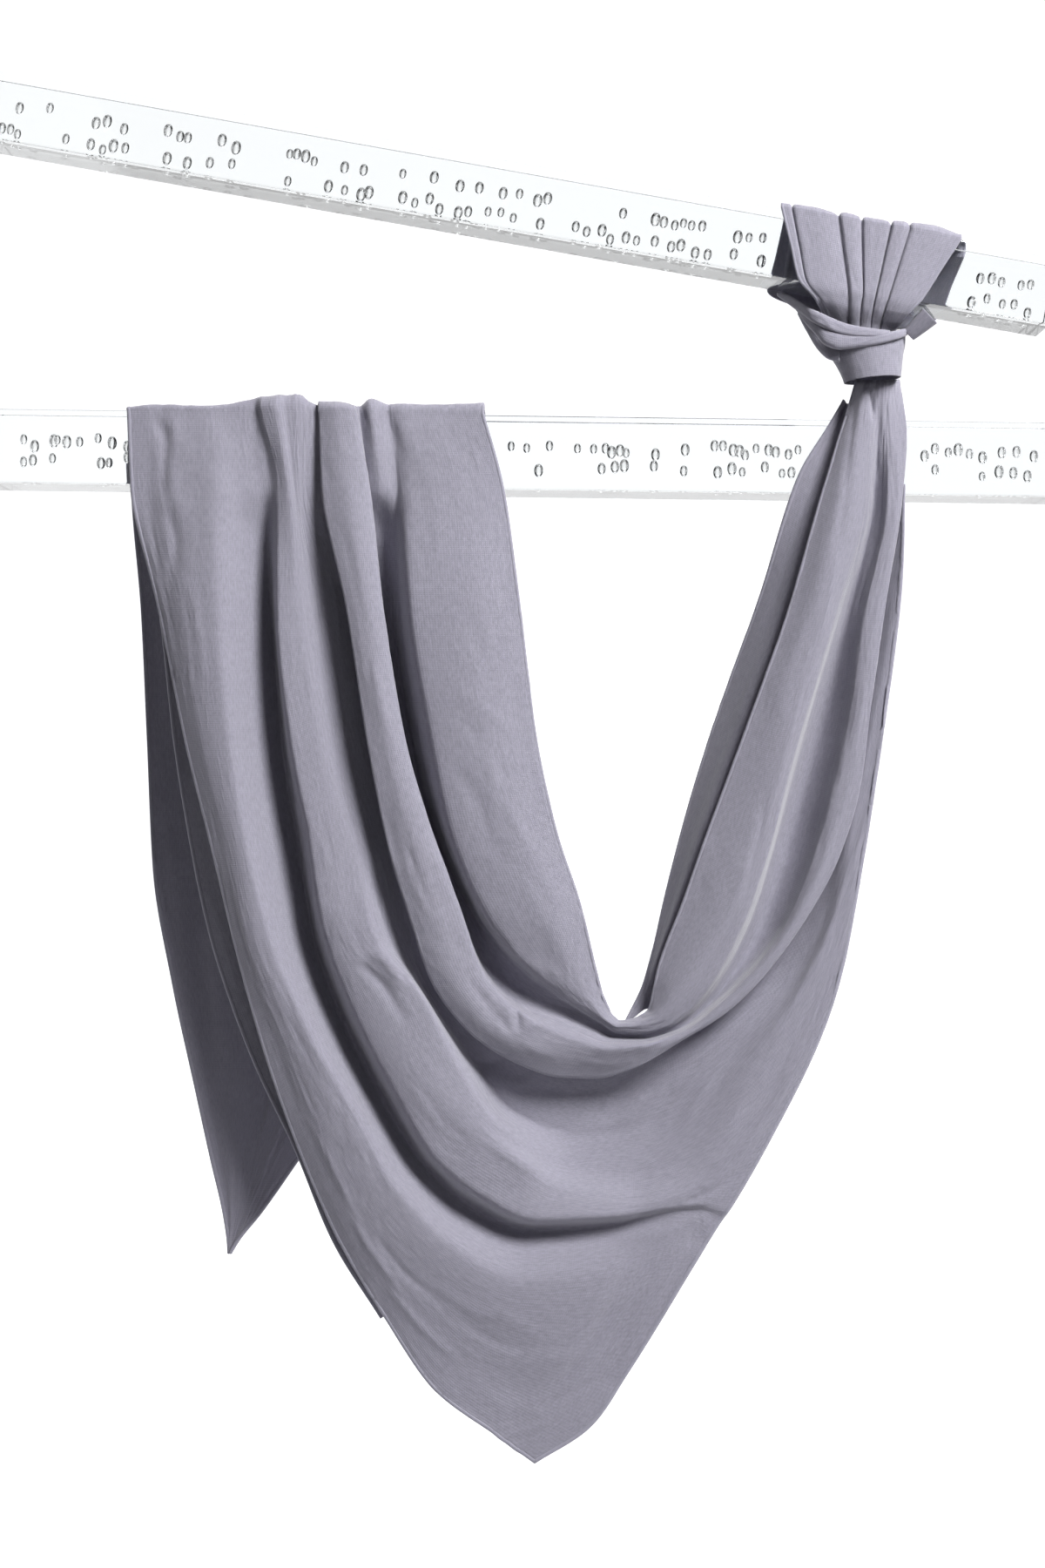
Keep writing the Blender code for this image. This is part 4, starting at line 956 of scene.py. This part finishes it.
class SCARF_OT_knot(Operator):
    """Builds the knot: the folds across the neck, the band and the rolled tail"""

    bl_idname = "scarf.knot"
    bl_label = "Knot"

    def execute(self, context):
        material = cloth_material(context)
        wraps = []
        for name, rows in WRAP_FOLDS.items():
            table = np.array(rows, float)
            at = np.linspace(0, len(rows) - 1, 90)
            read = smooth_through(np.arange(len(rows)), table, at)
            across, upper, lower, out = read.T
            lines = []
            for share, swell in WRAP_SWELL:
                lines.append(seen(across, upper + (lower - upper) * share, out + swell * (lower - upper)))
            grid = between_folds(lines, 5)
            grid = crinkled(grid, 91 + len(wraps), 0.3)
            wraps.append(cloth_piece("knot_" + name, grid, material, 0.6))
        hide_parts("knot_wrap")
        lines = []
        turns = np.linspace(0, 2 * math.pi, 96, endpoint=False)
        table = np.array(BAND_ROWS, float)
        downs = np.linspace(0, len(BAND_ROWS) - 1, 40)
        for across, down, half_width, half_depth, tilt in smooth_through(np.arange(len(table)), table, downs):
            x = half_width * np.cos(turns)
            middle = seen(across, down, BAND_OUT)
            lines.append(middle + np.stack([x, -half_depth * np.sin(turns), x * tilt], axis=-1))
        grid = np.array(lines)
        grid = crinkled(grid, 95, 0.3)
        band = cloth_piece("knot_band_cloth", grid, material, 0.9, closed=True)
        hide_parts("knot_band")
        root, mouth = seen(*TAIL_ROOT), seen(*TAIL_MOUTH)
        along = (mouth - root) / np.linalg.norm(mouth - root)
        side = np.cross(along, (0, 1, 0))
        side /= np.linalg.norm(side)
        third = np.cross(along, side)
        wound = np.linspace(0, 1, 80)
        lines = []
        for share in np.linspace(0, 1, 26):
            radius = TAIL_ROOT_RADIUS + (TAIL_MOUTH_RADIUS - TAIL_ROOT_RADIUS) * share**0.8
            turn = 2 * math.pi * TAIL_TURNS * wound + 0.9
            reach = radius * (1 - TAIL_TIGHTENING * wound)
            spiral = side * np.cos(turn)[:, None] + third * np.sin(turn)[:, None]
            lines.append(root + (mouth - root) * share + spiral * reach[:, None])
        tail = cloth_piece("knot_tail_cloth", np.array(lines), material, 0.6)
        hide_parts("knot_tail")
        return {"FINISHED"}


class SCARF_OT_rods(Operator):
    """Builds the two clear rods, with polished edges and trapped bubbles"""

    bl_idname = "scarf.rods"
    bl_label = "Clear rods"

    def execute(self, context):
        sizes = context.scene.scarf_sizes
        acrylic = cast_acrylic("cast acrylic", linear("#f7fafb"))
        air = trapped_air("air bubbles in acrylic")
        random = np.random.default_rng(7)
        for name, side, top, slope, out, groups, heights in (
            ("rod_lower", LOWER_SIDE, LOWER_TOP, LOWER_SLOPE, 0.0, LOWER_BUBBLES, (0.6, 0.34)),
            ("rod_upper", UPPER_SIDE, UPPER_TOP, UPPER_SLOPE, UPPER_OUT, UPPER_BUBBLES, (0.58, 0.24)),
        ):
            angle = math.atan(slope)
            corner = seen(ROD_FROM, top + slope * ROD_FROM, out)
            length = (ROD_TO - ROD_FROM) * (1 - out / EYE_DISTANCE) / math.cos(angle)
            turn = Matrix.Rotation(angle, 4, "Y")
            middle = Vector(to_frame(corner)) + turn @ Vector((length / 2, side / 2, -side / 2)) * MM
            form = bmesh.new()
            bmesh.ops.create_cube(form, size=1.0)
            stretch = Matrix.Diagonal((length * MM, side * MM, side * MM, 1))
            bmesh.ops.transform(form, matrix=stretch, verts=form.verts)
            bmesh.ops.bevel(
                form, geom=list(form.edges), offset=sizes.bevel_mm * MM, segments=3, profile=0.5,
                affect="EDGES",
            )
            bmesh.ops.transform(form, matrix=Matrix.Translation(middle) @ turn, verts=form.verts)
            bar = shown(name + "_bar", mesh_from(name + "_bar", form), acrylic)
            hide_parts(name)
            form = bmesh.new()
            for start, end, *counts in groups:
                for height, count in zip(heights, counts):
                    for i in range(count):
                        across = start + (end - start) * (i + random.uniform(0.2, 0.8)) / count
                        along = (across - ROD_FROM) * (1 - out / EYE_DISTANCE) / math.cos(angle)
                        deep = side * random.uniform(0.3, 0.6)
                        low = side * (height + random.uniform(-0.06, 0.06))
                        size = sizes.bubble_mm * random.uniform(0.7, 1.0)
                        off_middle = Vector((along - length / 2, deep - side / 2, low - side / 2))
                        place = middle + turn @ off_middle * MM
                        slim = size * BUBBLE_SLIMNESS
                        shape = Matrix.Translation(place) @ turn @ Matrix.Diagonal(
                            (slim * MM, slim * MM, size * MM, 1))
                        bmesh.ops.create_icosphere(form, subdivisions=3, radius=1.0, matrix=shape)
            bmesh.ops.reverse_faces(form, faces=form.faces)
            mesh = mesh_from(name + "_bubbles", form)
            mesh.shade_smooth()
            shown(name + "_bubbles", mesh, air)
        return {"FINISHED"}


class SCARF_OT_stage(Operator):
    """Adds the pale floor that sweeps up behind, the soft lights and the camera"""

    bl_idname = "scarf.stage"
    bl_label = "Stage, light and camera"

    def execute(self, context):
        scene = context.scene
        centre = to_frame(seen(EYE_ACROSS, EYE_DOWN, 0.0))
        floor = CAD_BOX[0][2] - FLOOR_BELOW
        profile = [(SWEEP_FRONT, floor), (SWEEP_BACK, floor)]
        for turn in np.radians(np.linspace(10, 90, 9)):
            reach, rise = SWEEP_RADIUS * math.sin(turn), SWEEP_RADIUS * (1 - math.cos(turn))
            profile.append((SWEEP_BACK + reach, floor + rise))
        profile.append((SWEEP_BACK + SWEEP_RADIUS, floor + SWEEP_HEIGHT))
        sides = (centre[0] - SWEEP_HALF_WIDTH, centre[0] + SWEEP_HALF_WIDTH)
        points = [(x, y, z) for y, z in profile for x in sides]
        faces = [(2 * i, 2 * i + 1, 2 * i + 3, 2 * i + 2) for i in range(len(profile) - 1)]
        mesh = bpy.data.meshes.new("paper_sweep")
        mesh.from_pydata(points, [], faces)
        mesh.shade_smooth()
        sweep = bpy.data.objects.new("paper_sweep", mesh)
        scene.collection.objects.link(sweep)
        sweep.data.materials.append(white_paper("white background paper", linear("#b4b4b6"), 0.9))
        for name, place, size, power in LIGHTS:
            lamp = bpy.data.lights.new(name, "AREA")
            lamp.shape = "DISK"
            lamp.size = size
            lamp.energy = power
            light = bpy.data.objects.new(name, lamp)
            light.location = Vector(centre) + Vector(place)
            light.rotation_euler = (Vector(centre) - light.location).to_track_quat("-Z", "Y").to_euler()
            scene.collection.objects.link(light)
        scene.world = dim_room("white room, dim in front", 0.07, 0.9)
        scene.view_settings.view_transform = "Standard"
        eye = bpy.data.cameras.new("camera")
        eye.sensor_fit = "HORIZONTAL"
        eye.sensor_width = 36.0
        eye.lens = 36.0 * EYE_DISTANCE / PICTURE_WIDTH
        eye.clip_end = 50
        camera = bpy.data.objects.new("camera", eye)
        camera.location = (centre[0], centre[1] - EYE_DISTANCE * MM, centre[2])
        camera.rotation_euler = (math.radians(90), 0, 0)
        scene.collection.objects.link(camera)
        scene.camera = camera
        return {"FINISHED"}


OPERATORS = (
    SCARF_OT_stage, SCARF_OT_inner_band, SCARF_OT_outer_fall, SCARF_OT_under_layers, SCARF_OT_back_fall,
    SCARF_OT_rod_loop, SCARF_OT_knot, SCARF_OT_rods,
)


class SCARF_PT_panel(Panel):
    """Lists the scarf's sizes, colours and pieces"""

    bl_idname = "SCARF_PT_panel"
    bl_label = "Crinkle scarf"
    bl_space_type = "VIEW_3D"
    bl_region_type = "UI"
    bl_category = "Scarf"

    def draw(self, context):
        for group in (context.scene.scarf_sizes, context.scene.scarf_looks):
            for name in group.__annotations__:
                self.layout.prop(group, name)
        for operator in OPERATORS:
            self.layout.operator(operator.bl_idname)


CLASSES = (ScarfSizes, ScarfLooks, *OPERATORS, SCARF_PT_panel)


def register():
    for one in CLASSES:
        bpy.utils.register_class(one)
    bpy.types.Scene.scarf_sizes = PointerProperty(type=ScarfSizes)
    bpy.types.Scene.scarf_looks = PointerProperty(type=ScarfLooks)


def unregister():
    del bpy.types.Scene.scarf_looks
    del bpy.types.Scene.scarf_sizes
    for one in reversed(CLASSES):
        bpy.utils.unregister_class(one)


def main():
    register()
    bpy.ops.scarf.stage()
    bpy.ops.scarf.inner_band()
    bpy.ops.scarf.outer_fall()
    bpy.ops.scarf.under_layers()
    bpy.ops.scarf.back_fall()
    bpy.ops.scarf.rod_loop()
    bpy.ops.scarf.knot()
    bpy.ops.scarf.rods()


if __name__ == "__main__":
    main()
